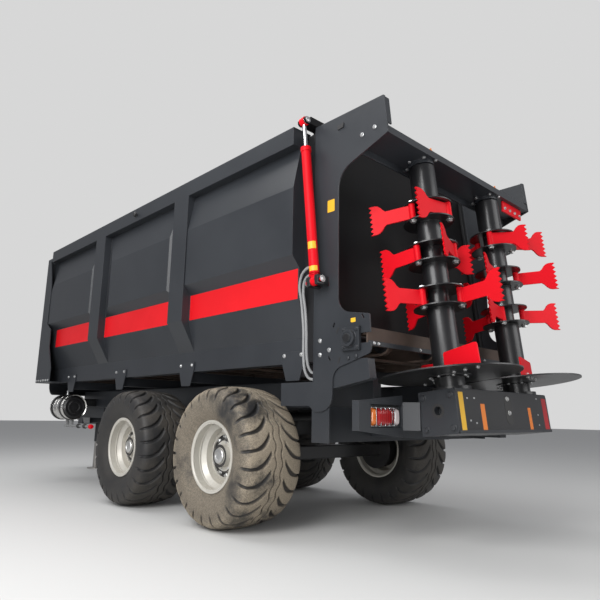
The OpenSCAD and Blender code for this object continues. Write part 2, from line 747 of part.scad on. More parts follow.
// A chain loop seen from the side, grown outward by the given amount
module loop_outline(grow) {
  r = wheel_r + grow;
  translate([-drive_x, drive_z]) circle(r);
  translate([idler_x, drive_z]) circle(r);
  translate([-drive_x, drive_z - r]) square([idler_x + drive_x, 2 * r]);
}
module chain_run(side) framed() sided(side) {
  for (y = [200, 800]) translate([0, y + chain_w / 2, 0]) rotate([90, 0, 0]) linear_extrude(chain_w) difference() {
    loop_outline(chain_t);
    loop_outline(0);
  }
  step = (idler_x + drive_x) / slat_count;
  for (i = [0:slat_count - 1]) {
    x = -drive_x + step * (i + 0.5);
    span([x - slat_w / 2, 500 - slat_l / 2, chain_top_z - eps], [x + slat_w / 2, 500 + slat_l / 2, chain_top_z + slat_h]);
    span([x - slat_w / 2, 500 - slat_l / 2, chain_bot_z - slat_h], [x + slat_w / 2, 500 + slat_l / 2, chain_bot_z + eps]);
  }
}
module chain_floor() color([0.35, 0.27, 0.23]) for (side = [1, -1]) chain_run(side);

// A floor shaft with its four chain wheels
module floor_shaft(x, reach) translate([x, 0, drive_z]) {
  y_rod(drive_r, -reach, reach);
  for (y = [-800, -200, 200, 800]) y_rod(wheel_r - seat_gap, y - 15, y + 15);
}
module drive_shaft() color(dark) framed() floor_shaft(-drive_x, plate_y + 70);
module idler_shaft() color(dark) framed() floor_shaft(idler_x, sill_y - sill_t);

module shaft_bearings() color(dark) framed() translate([-drive_x, 0, drive_z]) for (side = [1, -1]) sided(side)
  difference() {
    union() {
      span([-85, plate_y, -85], [85, plate_y + 26, 85]);
      y_rod(60, plate_y, plate_y + (side > 0 ? 58 : 40));
    }
    y_rod(drive_r + seat_gap, plate_y - eps, plate_y + 90);
  }

module floor_gearbox() color(dark) framed() translate([-drive_x, 0, drive_z]) difference() {
  union() {
    y_rod(105, -plate_y - 180, -plate_y - 40 - seat_gap);
    span([-75, -plate_y - 160, -210], [75, -plate_y - 50, 0]);
  }
  y_rod(drive_r + seat_gap, -plate_y - 75, -plate_y + 10);
}

// Rear frame

// Slots in the side plates: X, Z, turn
plate_slots = [[-1209, 1584, -20], [-1180, 1339, 30], [-1510, 1625, 35]];

// Rear edge of a side plate at a height above its tip
function plate_edge(z) = -plate_x - (plate_top - z) * (tip_x - plate_x) / (plate_top - tip_z);

// A side plate, with its upper rear edge folded inward above the top beam
module side_plate(side) framed() sided(side) difference() {
  fold_top = plate_top - 16;
  fold_low = tip_z + top_beam_h + 20;
  union() {
    side_sheet(plate_y, plate_t, outline(plate_rows));
    side_sheet(plate_in + eps, fold_w + eps, [[plate_edge(fold_top), fold_top],
      [plate_edge(fold_top) + plate_t, fold_top], [plate_edge(fold_low) + plate_t, fold_low],
      [plate_edge(fold_low), fold_low]]);
  }
  translate([-drive_x, 0, drive_z]) {
    y_rod(drive_r + moving_gap, plate_in - eps, plate_y + eps);
    span([-2 * drive_r - lug_x + drive_x, plate_in - eps, -drive_r - moving_gap],
      [0, plate_y + eps, drive_r + moving_gap]);
  }
  for (p = plate_slots) translate([p[0], plate_y + eps, p[1]]) rotate([90, p[2], 0]) linear_extrude(plate_t + 2 * eps)
    soft_rect(14, 40, 6.5);
}
module side_plate_left() color(paint) side_plate(1);
module side_plate_right() color(paint) side_plate(-1);

// Channels in which the door's edges run, with the sheets that join them to the hopper's rear end
module door_guides() color(dark) framed() for (side = [1, -1]) sided(side) {
  wall_x = door_t / 2 + moving_gap + guide_wall;
  on_door() difference() {
    span([-wall_x, door_w / 2 - guide_lap, 30], [wall_x, plate_in, guide_l]);
    span([-door_t / 2 - moving_gap, door_w / 2 - guide_lap - eps, 0],
      [door_t / 2 + moving_gap, door_w / 2 + moving_gap, guide_l + eps]);
  }
  foot = [door_x + wall_x / cos(lean), door_z + 60];
  head = [foot[0] + (guide_l - 120) * sin(lean), foot[1] + (guide_l - 120) * cos(lean)];
  side_sheet(plate_in, arm_t, [[-body_rear, sill_bot], [-body_rear, head[1]], head, foot, [foot[0], sill_bot]]);
}

module top_beam() color(paint) framed() {
  translate([-tip_x, 0, tip_z]) rotate([0, lean, 0]) {
    span([5, -plate_in, 0], [top_beam_l, plate_in, top_beam_h]);
    span([top_beam_l - arm_t, -plate_in, -beam_lip], [top_beam_l, plate_in, eps]);
  }
  for (side = [1, -1]) on_rotor(side) {
    translate([0, 0, beam_s - 30]) cylinder(r = 105, h = 30 + eps);
    translate([0, 0, beam_s - 110]) cylinder(r = rotor_pin_r, h = 90);
  }
}

// Folded arms under the bearing lugs: a side sheet with its rear, lower and upper edges turned inward
module rear_arms() color(paint) framed() for (side = [1, -1]) sided(side) difference() {
  side_sheet(plate_in, arm_w, outline([for (r = arm_rows) [r[0], r[1], 8]]));
  translate([0, -arm_t, 0]) side_sheet(plate_in, arm_w, [[arm_rows[0][0] + arm_t, arm_rows[0][1] - arm_t],
    [arm_rows[1][0] + arm_t, arm_rows[1][1] + arm_t], [arm_rows[2][0] + eps, arm_rows[2][1] + arm_t],
    [arm_rows[3][0] + eps, arm_rows[3][1] - arm_t]]);
}

module gear_beam() color(paint) framed() translate([-rotor_x, 0, rotor_z]) rotate([0, lean, 0]) difference() {
  union() {
    span([-gear_beam_l / 2, end_t - gear_y, -gear_drop - gear_beam_h], [gear_beam_l / 2, gear_y - end_t, -gear_drop]);
    for (side = [1, -1]) sided(side) side_sheet(gear_y, end_t + eps, outline([
      [-gear_beam_l / 2, -gear_drop, 28], [gear_beam_l / 2, -gear_drop, 0],
      [gear_beam_l / 2, -gear_drop - gear_beam_h, 0], [-gear_beam_l / 2, -gear_drop - gear_beam_h, 28]]));
  }
  for (side = [1, -1]) sided(side) translate([0, 0, -end_hole_s])
    y_rod(end_hole_r, gear_y - end_hole_d, gear_y + eps);
}

module rotor_gearboxes() color(dark) framed() for (side = [1, -1]) on_rotor(side) {
  translate([0, 0, -gear_drop]) cylinder(r = 110, h = gear_drop - 8);
  translate([0, 0, -gear_drop]) cylinder(r = 150, h = 25);
  translate([0, 0, -20]) cylinder(r = rotor_pin_r, h = 70);
}

// A lamp panel: a web bent off the gear beam's end plate, then a flat with a recess for the lamp
module lamp_panel(side) framed() sided(side) {
  low = lamp_z - lamp_panel_h / 2;
  back = -lamp_x - lamp_panel_t;
  translate([0, 0, low]) linear_extrude(lamp_panel_h)
    polygon([[back - 110, gear_y], [back - 110, gear_y + sheet_t], [back, gear_y + 70], [back + sheet_t, gear_y + 70],
      [back + sheet_t, gear_y + 58], [back - 90, gear_y]]);
  difference() {
    span([back, gear_y + 58, low], [-lamp_x, lamp_panel_y, low + lamp_panel_h]);
    span([back - eps, gear_y + 80, lamp_z - lamp_h / 2 - 16],
      [-lamp_x - 15, gear_y + 100 + lamp_w, lamp_z + lamp_h / 2 + 16]);
  }
}
module lamp_panels() color(paint) for (side = [1, -1]) lamp_panel(side);

// Lamps of three oval lenses on a common base
module lamps() color(red) framed() for (side = [1, -1]) sided(side)
  translate([-lamp_x - 15, gear_y + 90 + lamp_w / 2, lamp_z]) rotate([90, 0, -90]) {
    translate([0, -lamp_h / 2, 0]) linear_extrude(14) soft_rect(lamp_w, lamp_h, lamp_h / 2 - eps);
    for (i = [-1, 0, 1]) translate([i * lamp_w / 3.4, 8 - lamp_h / 2, 13])
      linear_extrude(24) soft_rect(lamp_w / 3.7, lamp_h - 16, 26);
  }

// Beaters and discs

module disc(side) framed() on_rotor(side) difference() {
  union() {
    cylinder(r = disc_r, h = disc_t);
    cylinder(r = 120, h = 26);
    cylinder(r = 110, h = hub_top);
    translate([0, 0, -6]) cylinder(r = 160, h = 7);
  }
  translate([0, 0, -10]) cylinder(r = rotor_pin_r + running_play, h = hub_top);
}
// Spreading vanes: an upright with a sloping tip on a foot that lies on the disc
module vanes(side) framed() on_rotor(side) for (i = [0:vane_count - 1]) rotate(vane_turn + i * 360 / vane_count)
  translate([0, 0, disc_t]) {
    side_sheet(vane_t / 2, vane_t, outline([[vane_in, 0, 0], [disc_r - 30, 0, 0], [disc_r - 60, vane_h, 12],
      [vane_in + 60, vane_h * 0.75, 12], [vane_in, vane_h * 0.55, 12]]));
    span([vane_in + 15, -vane_t / 2, 0], [disc_r - 45, 45, vane_t]);
  }
module vanes_left() color(red) vanes(1);
module vanes_right() color(red) vanes(-1);
module disc_left() color(dark) disc(1);
module disc_right() color(dark) disc(-1);

module beater(side, blades) framed() on_rotor(side) {
  top_s = beam_s - 40;
  difference() {
    union() {
      translate([0, 0, hub_top]) cylinder(r = sleeve_r + 6, h = low_flange_s - hub_top);
      translate([0, 0, low_flange_s]) cylinder(r = tube_r, h = top_s - low_flange_s);
      translate([0, 0, level_s[0] + flange_gap / 2]) cylinder(r = tube_r + 10, h = top_s - level_s[0] - flange_gap / 2);
      for (i = [0, 1]) translate([0, 0, level_s[i + 1] + flange_gap / 2])
        cylinder(r = sleeve_r, h = level_s[i] - level_s[i + 1] - flange_gap);
      for (s = level_s, e = [-flange_gap / 2 - flange_t, flange_gap / 2]) translate([0, 0, s + e])
        cylinder(r = flange_r, h = flange_t);
      for (b = blades) rotate(b[1]) translate([bolt_circle_r, 0, level_s[b[0]] - flange_gap / 2 - flange_t - 14])
        cylinder(r = bolt_r, h = flange_gap + 2 * flange_t + 28);
    }
    translate([0, 0, beam_s - 115]) cylinder(r = rotor_pin_r + running_play, h = 100);
  }
}
module beater_left() color(dark) beater(1, left_blades);
module beater_right() color(dark) beater(-1, right_blades);

// A blade: bush on its bolt, neck, and a flared end with a row of teeth
module blade() {
  tooth = blade_tip_h / tooth_count;
  half = blade_tip_h / 2;
  neck = blade_neck_h / 2;
  root = blade_l - tooth_d;
  teeth = [for (i = [0:tooth_count - 1], k = [0, 1])
    k == 0 ? [blade_l, half - tooth * (i + 0.15)] : [root, half - tooth * (i + 0.6)]];
  difference() {
    union() {
      cylinder(r = bolt_r + 13, h = flange_gap - 2 * seat_gap, center = true);
      translate([0, blade_t / 2, 0]) rotate([90, 0, 0]) linear_extrude(blade_t)
        polygon(concat([[0, neck], [190, neck], [250, half * 0.8], [300, half]], teeth,
          [[blade_l, -half], [300, -half], [250, -half * 0.8], [190, -neck], [0, -neck]]));
    }
    cylinder(r = bolt_r + seat_gap, h = flange_gap + eps, center = true);
  }
}
module blades(side, list) framed() on_rotor(side) for (b = list)
  rotate(b[1]) translate([bolt_circle_r, 0, level_s[b[0]]]) rotate(b[2] - b[1]) blade();
module blades_left() color(red) blades(1, left_blades);
module blades_right() color(red) blades(-1, right_blades);

// Door and its cylinders

module door() color(dark) framed() on_door() {
  span([-door_t / 2, -door_w / 2, 0], [door_skin - door_t / 2, door_w / 2, eye_s]);
  for (i = [0:door_bays]) translate([0, (door_w - door_rib) * (i / door_bays - 0.5), 0])
    span([-door_t / 2, -door_rib / 2, 0], [door_t / 2, door_rib / 2, eye_s]);
  for (z = [0, eye_s * 0.45, eye_s - door_rib]) span([-door_t / 2, -door_w / 2, z], [door_t / 2, door_w / 2, z + door_rib]);
  span([-45, -cyl_y + 40, eye_s - 26], [45, cyl_y - 40, eye_s + door_beam_h - 26]);
  for (side = [1, -1]) sided(side) translate([0, cyl_y, eye_s])
    for (x = [-45, 27]) {
      x_rod(30, x, x + 18);
      span([x, -60, -26], [x + 18, 0, 30]);
    }
  for (side = [1, -1]) sided(side) translate([0, cyl_y, eye_s]) x_rod(15, -46, 46);
}

module rods() color(steel) framed() on_door() for (side = [1, -1]) sided(side) translate([0, cyl_y, 0]) difference() {
  union() {
    translate([0, 0, cyl_foot_s + 80]) cylinder(r = rod_r, h = eye_s - cyl_foot_s - 80);
    translate([0, 0, cyl_foot_s + 80]) cylinder(r = barrel_r - 6 - seat_gap, h = 30);
    translate([0, 0, eye_s]) x_rod(30, -26, 26);
  }
  translate([0, 0, eye_s]) x_rod(15 + seat_gap, -60, 60);
}

module barrel(side) framed() on_door() sided(side) translate([0, cyl_y, 0]) {
  difference() {
    union() {
      translate([0, 0, cyl_foot_s + 50]) cylinder(r = barrel_r, h = barrel_top_s - cyl_foot_s - 50);
      translate([0, 0, barrel_top_s - 40]) cylinder(r = barrel_r + 4, h = 40);
      translate([0, 0, cyl_foot_s]) x_rod(34, -22, 22);
      span([-22, -22, cyl_foot_s], [22, 22, cyl_foot_s + 60]);
    }
    translate([0, 0, cyl_foot_s + 70]) cylinder(r = barrel_r - 6, h = door_stroke + 60);
    translate([0, 0, cyl_foot_s + 70]) cylinder(r = rod_r + running_play, h = barrel_top_s);
  }
  translate([0, 0, cyl_foot_s]) x_rod(15, -80, 80);
  for (x = [-60, 26]) span([x, plate_y - cyl_y + 0.01, cyl_foot_s - 35], [x + 34, 30, cyl_foot_s + 35]);
}
module barrels() color(red) for (side = [1, -1]) {
  barrel(side);
  framed() sided(side) for (route = hose_routes) translate([0, cyl_y, route[0][2]])
    x_rod(hose_r + 4, door_x + (route[0][2] - door_z) * tan(lean) + barrel_r - 5, -port_x);
}

// Hoses

module hoses() color([0.55, 0.55, 0.53]) framed() for (side = [1, -1], route = hose_routes) sided(side) difference() {
  tube(route, hose_r, 10);
  span([-plate_front - 100, 0, 0], [-plate_front, half_w, sill_top]);
  span([-plate_front - 100, 0, sill_top], [-port_x, half_w, body_top]);
}

// Air tank

module air_tank() color(steel) framed() translate([tank_x, tank_y, tank_z]) rotate([0, 90, 0]) rotate_extrude()
  polygon(outline([[0, -tank_l / 2, 0], [tank_r, -tank_l / 2, tank_r / 2], [tank_r, tank_l / 2, tank_r / 2],
    [0, tank_l / 2, 0]]));
module tank_cradle() color(dark) framed() for (x = [tank_x - 450, tank_x + 450]) difference() {
  union() {
    translate([x, tank_y, tank_z]) x_rod(tank_r + 8, -25, 25);
    span([x - 25, rail_y + rail_w / 2, tank_z + 20], [x + 25, tank_y, tank_z + 120]);
  }
  translate([x, tank_y, tank_z]) x_rod(tank_r + seat_gap, -30, 30);
}

// Wheels

// Half section of a tyre, above its bead seat
module tyre_section() {
  wall = tyre_r - rim_d / 2 - seat_gap;
  bead = rim_w / 2 - lip_t - seat_gap;
  bead_h = 70;
  difference() {
    translate([0, bead_h]) soft_rect(tyre_w, wall - bead_h, shoulder_r);
    for (y = [-1, 1]) translate([y * rib_w / 5 - groove_w / 4, wall - tread_d]) square([groove_w / 2, 2 * tread_d]);
  }
  polygon([[-bead, 0], [bead, 0], [bead, 40], [tyre_w / 2 - 60, 130], [60 - tyre_w / 2, 130], [-bead, 40]]);
}

module tyre(x, side) framed() translate([x, side * wheel_y, tyre_r]) difference() {
  rotate([90, 0, 0]) rotate_extrude() rotate(-90) translate([0, rim_d / 2 + seat_gap]) tyre_section();
  for (i = [0:lug_count - 1], face = [1, -1]) sided(face) rotate([0, (i + face / 4) * 360 / lug_count, 0])
    translate([0, rib_w / 2, tyre_r - tread_d]) rotate(groove_slant)
      span([-groove_w / 2, 0, 0], [groove_w / 2, tyre_w / 2, tread_d + eps]);
}
module tyre_front_left() color(rubber) tyre(axle_gap, 1);
module tyre_front_right() color(rubber) tyre(axle_gap, -1);
module tyre_rear_left() color(rubber) tyre(0, 1);
module tyre_rear_right() color(rubber) tyre(0, -1);

// Half section of a rim with its dished disc, as radius and distance from the wheel's middle plane
module rim_section() {
  seat = rim_d / 2;
  half = rim_w / 2;
  slope = seat_w + well_d;
  polygon([[seat + lip_h, -half], [seat + lip_h, lip_t - half], [seat, lip_t - half], [seat, seat_w - half],
    [seat - well_d, slope - half], [seat - well_d, half - slope], [seat, half - seat_w], [seat, half - lip_t],
    [seat + lip_h, half - lip_t], [seat + lip_h, half], [seat, half], [seat - rim_wall, half - lip_t],
    [seat - rim_wall, half - seat_w - 4], [barrel_in, half - slope - 4], [barrel_in, slope + 4 - half],
    [seat - rim_wall, seat_w + 4 - half], [seat - rim_wall, lip_t - half], [seat, -half]]);
  polygon([[barrel_in + eps, disc_y - 16], [barrel_in + eps, disc_y], [ring_r, disc_y + 24], [ring_r - 10, disc_y + 24],
    [ring_r - 10, disc_y + 12], [hub_r - eps, disc_y + 12], [hub_r - eps, disc_y - 4], [ring_r, disc_y - 4]]);
}

module rim(x, side) framed() translate([x, 0, tyre_r]) sided(side) translate([0, wheel_y, 0]) difference() {
  union() {
    rotate([-90, 0, 0]) rotate_extrude() rim_section();
    y_rod(hub_r, -110, disc_y + 40);
    y_rod(95, disc_y + 39, disc_y + 85);
  }
  y_rod(stub_r + running_play, -rim_w, disc_y + 5);
}
module rim_front_left() color(rim_paint) rim(axle_gap, 1);
module rim_front_right() color(rim_paint) rim(axle_gap, -1);
module rim_rear_left() color(rim_paint) rim(0, 1);
module rim_rear_right() color(rim_paint) rim(0, -1);

chassis_rails();
chassis_crossmembers();
cross_bearers();
tail_beam();
gear_arms();
springs();
axles();
drawbar_beams();
drawbar_head();
tow_eye();
jack_sleeve();
jack_leg();
driveline();
sills();
side_wall_left();
side_wall_right();
front_wall();
floor_plate();
floor_guard();
chain_floor();
drive_shaft();
shaft_bearings();
idler_shaft();
floor_gearbox();
side_plate_left();
side_plate_right();
door_guides();
top_beam();
rear_arms();
gear_beam();
rotor_gearboxes();
lamp_panels();
lamps();
barrels();
hoses();
air_tank();
tank_cradle();
door();
rods();
tyre_front_left();
tyre_front_right();
tyre_rear_left();
tyre_rear_right();
rim_front_left();
rim_front_right();
rim_rear_left();
rim_rear_right();
beater_left();
beater_right();
blades_left();
blades_right();
vanes_left();
vanes_right();
disc_left();
disc_right();
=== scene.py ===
"""Looks of a towed solid-fertilizer spreader: finishes, tread, fasteners, lamps, stage and camera.

Lengths are metres and angles are degrees, unless a name says otherwise. Places are given from the rear axle,
on the ground and in the middle plane, and spot moves them into the machine's frame.
"""

import logging
import math
from dataclasses import dataclass, field
from enum import Enum

import bpy
import numpy as np
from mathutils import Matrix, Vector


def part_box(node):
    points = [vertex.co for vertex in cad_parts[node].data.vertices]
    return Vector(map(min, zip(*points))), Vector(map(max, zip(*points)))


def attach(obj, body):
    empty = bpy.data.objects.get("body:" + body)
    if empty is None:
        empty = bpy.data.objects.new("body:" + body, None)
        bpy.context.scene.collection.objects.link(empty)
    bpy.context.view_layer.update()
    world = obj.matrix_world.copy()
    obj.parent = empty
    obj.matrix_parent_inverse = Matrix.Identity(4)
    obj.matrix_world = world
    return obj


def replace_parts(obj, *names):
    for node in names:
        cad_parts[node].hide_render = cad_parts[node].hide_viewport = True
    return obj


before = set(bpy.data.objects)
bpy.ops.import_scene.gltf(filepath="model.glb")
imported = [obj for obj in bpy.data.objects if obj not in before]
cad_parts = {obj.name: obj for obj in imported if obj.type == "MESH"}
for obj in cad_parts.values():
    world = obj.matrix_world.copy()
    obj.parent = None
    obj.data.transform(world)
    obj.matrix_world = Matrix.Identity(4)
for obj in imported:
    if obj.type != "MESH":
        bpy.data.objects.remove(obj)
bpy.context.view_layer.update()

LOG = logging.getLogger("spreader")
Array = np.ndarray
Pair = tuple[float, float]
Triple = tuple[float, float, float]
Profile = tuple[Pair, ...]

# Where the rear axle lies in the machine's frame, and how far rotors, door and cylinders lean back
AXLE_X = -1.8474577
LEAN = math.radians(6.07)
LEANING = np.array([
    [math.cos(LEAN), 0.0, math.sin(LEAN)],
    [0.0, 1.0, 0.0],
    [-math.sin(LEAN), 0.0, math.cos(LEAN)],
])

# Foot of the left rotor's axis, at the discs' level
ROTOR_FOOT = (-1.798, 0.530, 1.236)

# Directions that pieces face, outward being the left side's, and the half turn that hangs a piece upside down
FORWARD, BACKWARD = (1.0, 0.0, 0.0), (-1.0, 0.0, 0.0)
OUTWARD, INWARD = (0.0, 1.0, 0.0), (0.0, -1.0, 0.0)
DOWNWARD = (0.0, 0.0, -1.0)
HANGING = np.diag([1.0, -1.0, -1.0])

# Cosines past which two directions count as the same
PARALLEL, STEEP, NEARLY_ALONG = 0.99, 0.9, 0.97
# Two directions that a swept path is unlikely to follow
SWEEP_HINTS = (np.array([0.31, 0.95, 0.05]), np.array([0.9, 0.1, 0.42]))

# A quarter turn of points kept as rows
QUARTER = np.array([[0, 1], [-1, 0]])

# Bolt heads as shares of half the width across flats and of the head's height, and the turn between two
HEAD_HEIGHT = 0.42
WASHER: Profile = ((1.45, 0.0), (1.45, 0.22), (1.35, 0.3), (0.9, 0.3))
HEXAGON: Profile = ((1.1, 0.3), (1.15, 1.0), (0.92, 1.22))
WASHER_SIDES, HEXAGON_SIDES = 16, 6
BOLT_TWIST = 17.0

# Round heads: height of the upright rim as a share, and how far the quarter ellipse runs
DOME_RIM, DOME_RUN, DOME_STEPS = 0.3, 0.9, 5

BEAD_SIDES = 8
FILM = 0.0012
FILM_BEVEL = 0.0004


class Side(Enum):
    """The two sides of the machine, as the sign of Y."""

    LEFT = 1
    RIGHT = -1

    @property
    def word(self) -> str:
        """The side's name in node and body names."""
        return self.name.lower()


class Body(str, Enum):
    """Bodies that carry the added pieces, apart from wheels and rotors, whose names hold their side."""

    FRAME = "frame"
    DOOR = "rear_door"


def spot(x: float, y: float, z: float) -> Array:
    """A point given from the rear axle, moved into the machine's frame."""
    return np.array([x + AXLE_X, y, z])


def unit(v: Array) -> Array:
    """The vector divided by its length."""
    v = np.asarray(v, float)
    return v / np.linalg.norm(v)


def basis(normal: Array, along: Array = (0.0, 0.0, 1.0)) -> Array:
    """A turn whose third column is the normal and whose first lies towards a direction.

    Args:
        normal: direction that local Z takes.
        along: direction that local X takes, as nearly as it can.

    Returns:
        A 3 by 3 matrix with the three local axes as columns.
    """
    n = unit(normal)
    a = np.asarray(along, float)
    if abs(unit(a) @ n) > PARALLEL:
        a = np.array(FORWARD if abs(n[0]) < STEEP else OUTWARD)
    u = unit(a - (a @ n) * n)
    return np.stack([u, np.cross(n, u), n], axis=1)


def turn_z(degrees: float) -> Array:
    """The turn about Z by an angle."""
    c, s = math.cos(math.radians(degrees)), math.sin(math.radians(degrees))
    return np.array([[c, -s, 0.0], [s, c, 0.0], [0.0, 0.0, 1.0]])


def even_angles(count: int, start: float = 0.0) -> Array:
    """Angles in radians, evenly round a circle, the first at a start in radians."""
    return start + np.arange(count) * 2 * math.pi / count


def about_z(r: Array, h: Array, a: Array) -> Array:
    """Points round Z at radius r, height h and angle a: x = r cos a, y = r sin a, z = h."""
    return np.stack([r * np.cos(a), r * np.sin(a), h + 0 * a], -1)


def about_y(r: Array, h: Array, a: Array) -> Array:
    """Points round Y at radius r, distance h and angle a: x = r cos a, y = h, z = r sin a."""
    return np.stack([r * np.cos(a), h + 0 * a, r * np.sin(a)], -1)


@dataclass
class Shell:
    """A mesh in the making: points, four-sided faces and three-sided faces."""

    verts: Array
    quads: Array = field(default_factory=lambda: np.zeros((0, 4), int))
    tris: Array = field(default_factory=lambda: np.zeros((0, 3), int))

    def moved(self, turn: Array | None = None, offset: Array = (0.0, 0.0, 0.0)) -> "Shell":
        """The shell turned, then shifted."""
        v = self.verts if turn is None else self.verts @ np.asarray(turn).T
        return Shell(v + np.asarray(offset, float), self.quads, self.tris)

    def mirrored(self) -> "Shell":
        """The shell reflected in the plane Y = 0, its faces turned round again."""
        return Shell(self.verts * np.array([1.0, -1.0, 1.0]), self.quads[:, ::-1], self.tris[:, ::-1])

    def on(self, side: Side) -> "Shell":
        """The shell as it is for the left side, reflected for the right."""
        return self if side is Side.LEFT else self.mirrored()

    def repeated(self, turns: Array, offsets: Array) -> "Shell":
        """One copy for each turn and offset, as one shell.

        Args:
            turns: m turns, m by 3 by 3.
            offsets: m places, m by 3.

        Returns:
            The m copies joined.
        """
        m, n = len(offsets), len(self.verts)
        v = np.einsum("mij,nj->mni", np.asarray(turns), self.verts) + np.asarray(offsets)[:, None, :]
        step = (np.arange(m) * n)[:, None, None]
        quads = (self.quads[None] + step).reshape(-1, 4)
        return Shell(v.reshape(-1, 3), quads, (self.tris[None] + step).reshape(-1, 3))

    def at(self, places: Array, turn: Array) -> "Shell":
        """One copy for each place, all turned alike."""
        return self.repeated(np.stack([turn] * len(places)), places)


def joined(shells: list[Shell]) -> Shell:
    """Several shells as one, the faces of each counted on from the points before it.

    Args:
        shells: the shells.

    Returns:
        One shell with all their points and faces.
    """
    starts = np.cumsum([0] + [len(s.verts) for s in shells[:-1]])
    return Shell(
        np.concatenate([s.verts for s in shells]),
        np.concatenate([s.quads + k for s, k in zip(shells, starts)]),
        np.concatenate([s.tris + k for s, k in zip(shells, starts)]),
    )


def both_sides(shell: Shell) -> Shell:
    """A shell with its reflection on the other side of the machine."""
    return joined([shell, shell.mirrored()])


def grid_quads(rows: int, cols: int, wrap_rows: bool = False, wrap_cols: bool = False) -> Array:
    """Faces of a grid of points kept row by row: each joins a point, the next in its row and the two beyond.

    Args:
        rows: how many rows.
        cols: how many points in a row.
        wrap_rows: whether the last row joins the first.
        wrap_cols: whether the last point of a row joins the first.

    Returns:
        The faces, m by 4.
    """
    r = np.arange(rows if wrap_rows else rows - 1)[:, None]
    c = np.arange(cols if wrap_cols else cols - 1)[None, :]
    r2, c2 = (r + 1) % rows, (c + 1) % cols
    corners = np.broadcast_arrays(r * cols + c, r * cols + c2, r2 * cols + c2, r2 * cols + c)
    return np.stack(corners, -1).reshape(-1, 4)


def rings(points: Array, close_low: bool = True, close_high: bool = True) -> Shell:
    """Rings of points joined by faces, each end closed by a fan to its middle.

    Args:
        points: k rings of n points, k by n by 3, running anticlockwise seen from the last ring.
        close_low: whether the first ring is closed.
        close_high: whether the last ring is closed.

    Returns:
        The shell, facing outward.
    """
    k, n = points.shape[:2]
    verts, tris = [points.reshape(-1, 3)], []
    a, b = np.arange(n), (np.arange(n) + 1) % n
    top = k * n
    if close_low:
        verts.append(points[0].mean(0)[None])
        tris.append(np.stack([b, a, np.full(n, top)], 1))
        top += 1
    if close_high:
        verts.append(points[-1].mean(0)[None])
        tris.append(np.stack([a + (k - 1) * n, b + (k - 1) * n, np.full(n, top)], 1))
    faces = np.concatenate(tris) if tris else np.zeros((0, 3), int)
    return Shell(np.concatenate(verts), grid_quads(k, n, wrap_cols=True), faces)


def turned(profile: Profile, sides: int) -> Shell:
    """A profile of radius and height carried round Z: x = r cos a, y = r sin a, z = h.

    Args:
        profile: pairs of radius and height, from the low end to the high end.
        sides: how many steps round the axis.

    Returns:
        The shell, closed at both ends.
    """
    p = np.asarray(profile, float)
    return rings(about_z(p[:, :1], p[:, 1:], even_angles(sides)))


def rounded_box(width: float, height: float, radius: float, steps: int = 5) -> Array:
    """Outline of a rectangle with round corners: four quarter circles about the inset corners.

    Args:
        width: size along X.
        height: size along Y.
        radius: radius of the corners.
        steps: points on each quarter circle.

    Returns:
        The points, anticlockwise, n by 2.
    """
    a = np.linspace(0, math.pi / 2, steps)
    quarter = radius * np.stack([np.cos(a), np.sin(a)], 1)
    x, y = width / 2 - radius, height / 2 - radius
    mids = np.array([(x, y), (-x, y), (-x, -y), (x, -y)])
    return np.concatenate([quarter @ np.linalg.matrix_power(QUARTER, i) + m for i, m in enumerate(mids)])


def drawn_in(outline: Array, by: float) -> Array:
    """An outline with each of its points moved towards its middle by a distance."""
    mid = outline.mean(0)
    return mid + (outline - mid) * (1 - by / np.linalg.norm(outline - mid, axis=1, keepdims=True))


def stacked(levels: list[tuple[Array, float]]) -> Shell:
    """Outlines set at their heights, joined by faces and closed at both ends."""
    return rings(np.stack([np.column_stack([o, np.full(len(o), z)]) for o, z in levels]))


def plate(outline: Array, depth: float, bevel: float) -> Shell:
    """A convex outline raised along Z, its upper edge drawn in towards its middle by the bevel."""
    o = np.asarray(outline, float)
    return stacked([(o, 0.0), (o, depth - bevel), (drawn_in(o, bevel), depth)])


def patch(
    width: float, height: float, corner: float, depth: float = FILM, bevel: float = FILM_BEVEL
) -> Shell:
    """A thin film with round corners, lying on Z = 0."""
    return plate(rounded_box(width, height, corner, steps=3), depth, bevel)


def block(size: Triple, bevel: float) -> Shell:
    """A box standing on Z = 0, its upper and lower edges bevelled.

    Args:
        size: its width, depth and height.
        bevel: the bevel, and the radius of its upright edges as far as the box has room for it.

    Returns:
        The closed shell.
    """
    w, d, h = size
    o = rounded_box(w, d, min(bevel, w / 3, d / 3), steps=3)
    inner = drawn_in(o, bevel)
    return stacked([(inner, 0.0), (o, bevel), (o, h - bevel), (inner, h)])


def smooth_line(points: Array, per_span: int = 8) -> Array:
    """A curve through points: each span is the cubic whose slopes are half the chord of its neighbours.

    Args:
        points: the points, m by any number of axes.
        per_span: how many points each span gets.

    Returns:
        The points of the curve.
    """
    p = np.asarray(points, float)
    q = np.concatenate([2 * p[:1] - p[1:2], p, 2 * p[-1:] - p[-2:-1]])
    t = np.linspace(0, 1, per_span, endpoint=False)[None, :, None]
    a, b, c, d = (q[i : len(q) - 3 + i][:, None, :] for i in range(4))
    line = b + t / 2 * ((c - a) + t * ((2 * a - 5 * b + 4 * c - d) + t * (3 * b - a - 3 * c + d)))
    return np.concatenate([line.reshape(-1, p.shape[1]), p[-1:]])


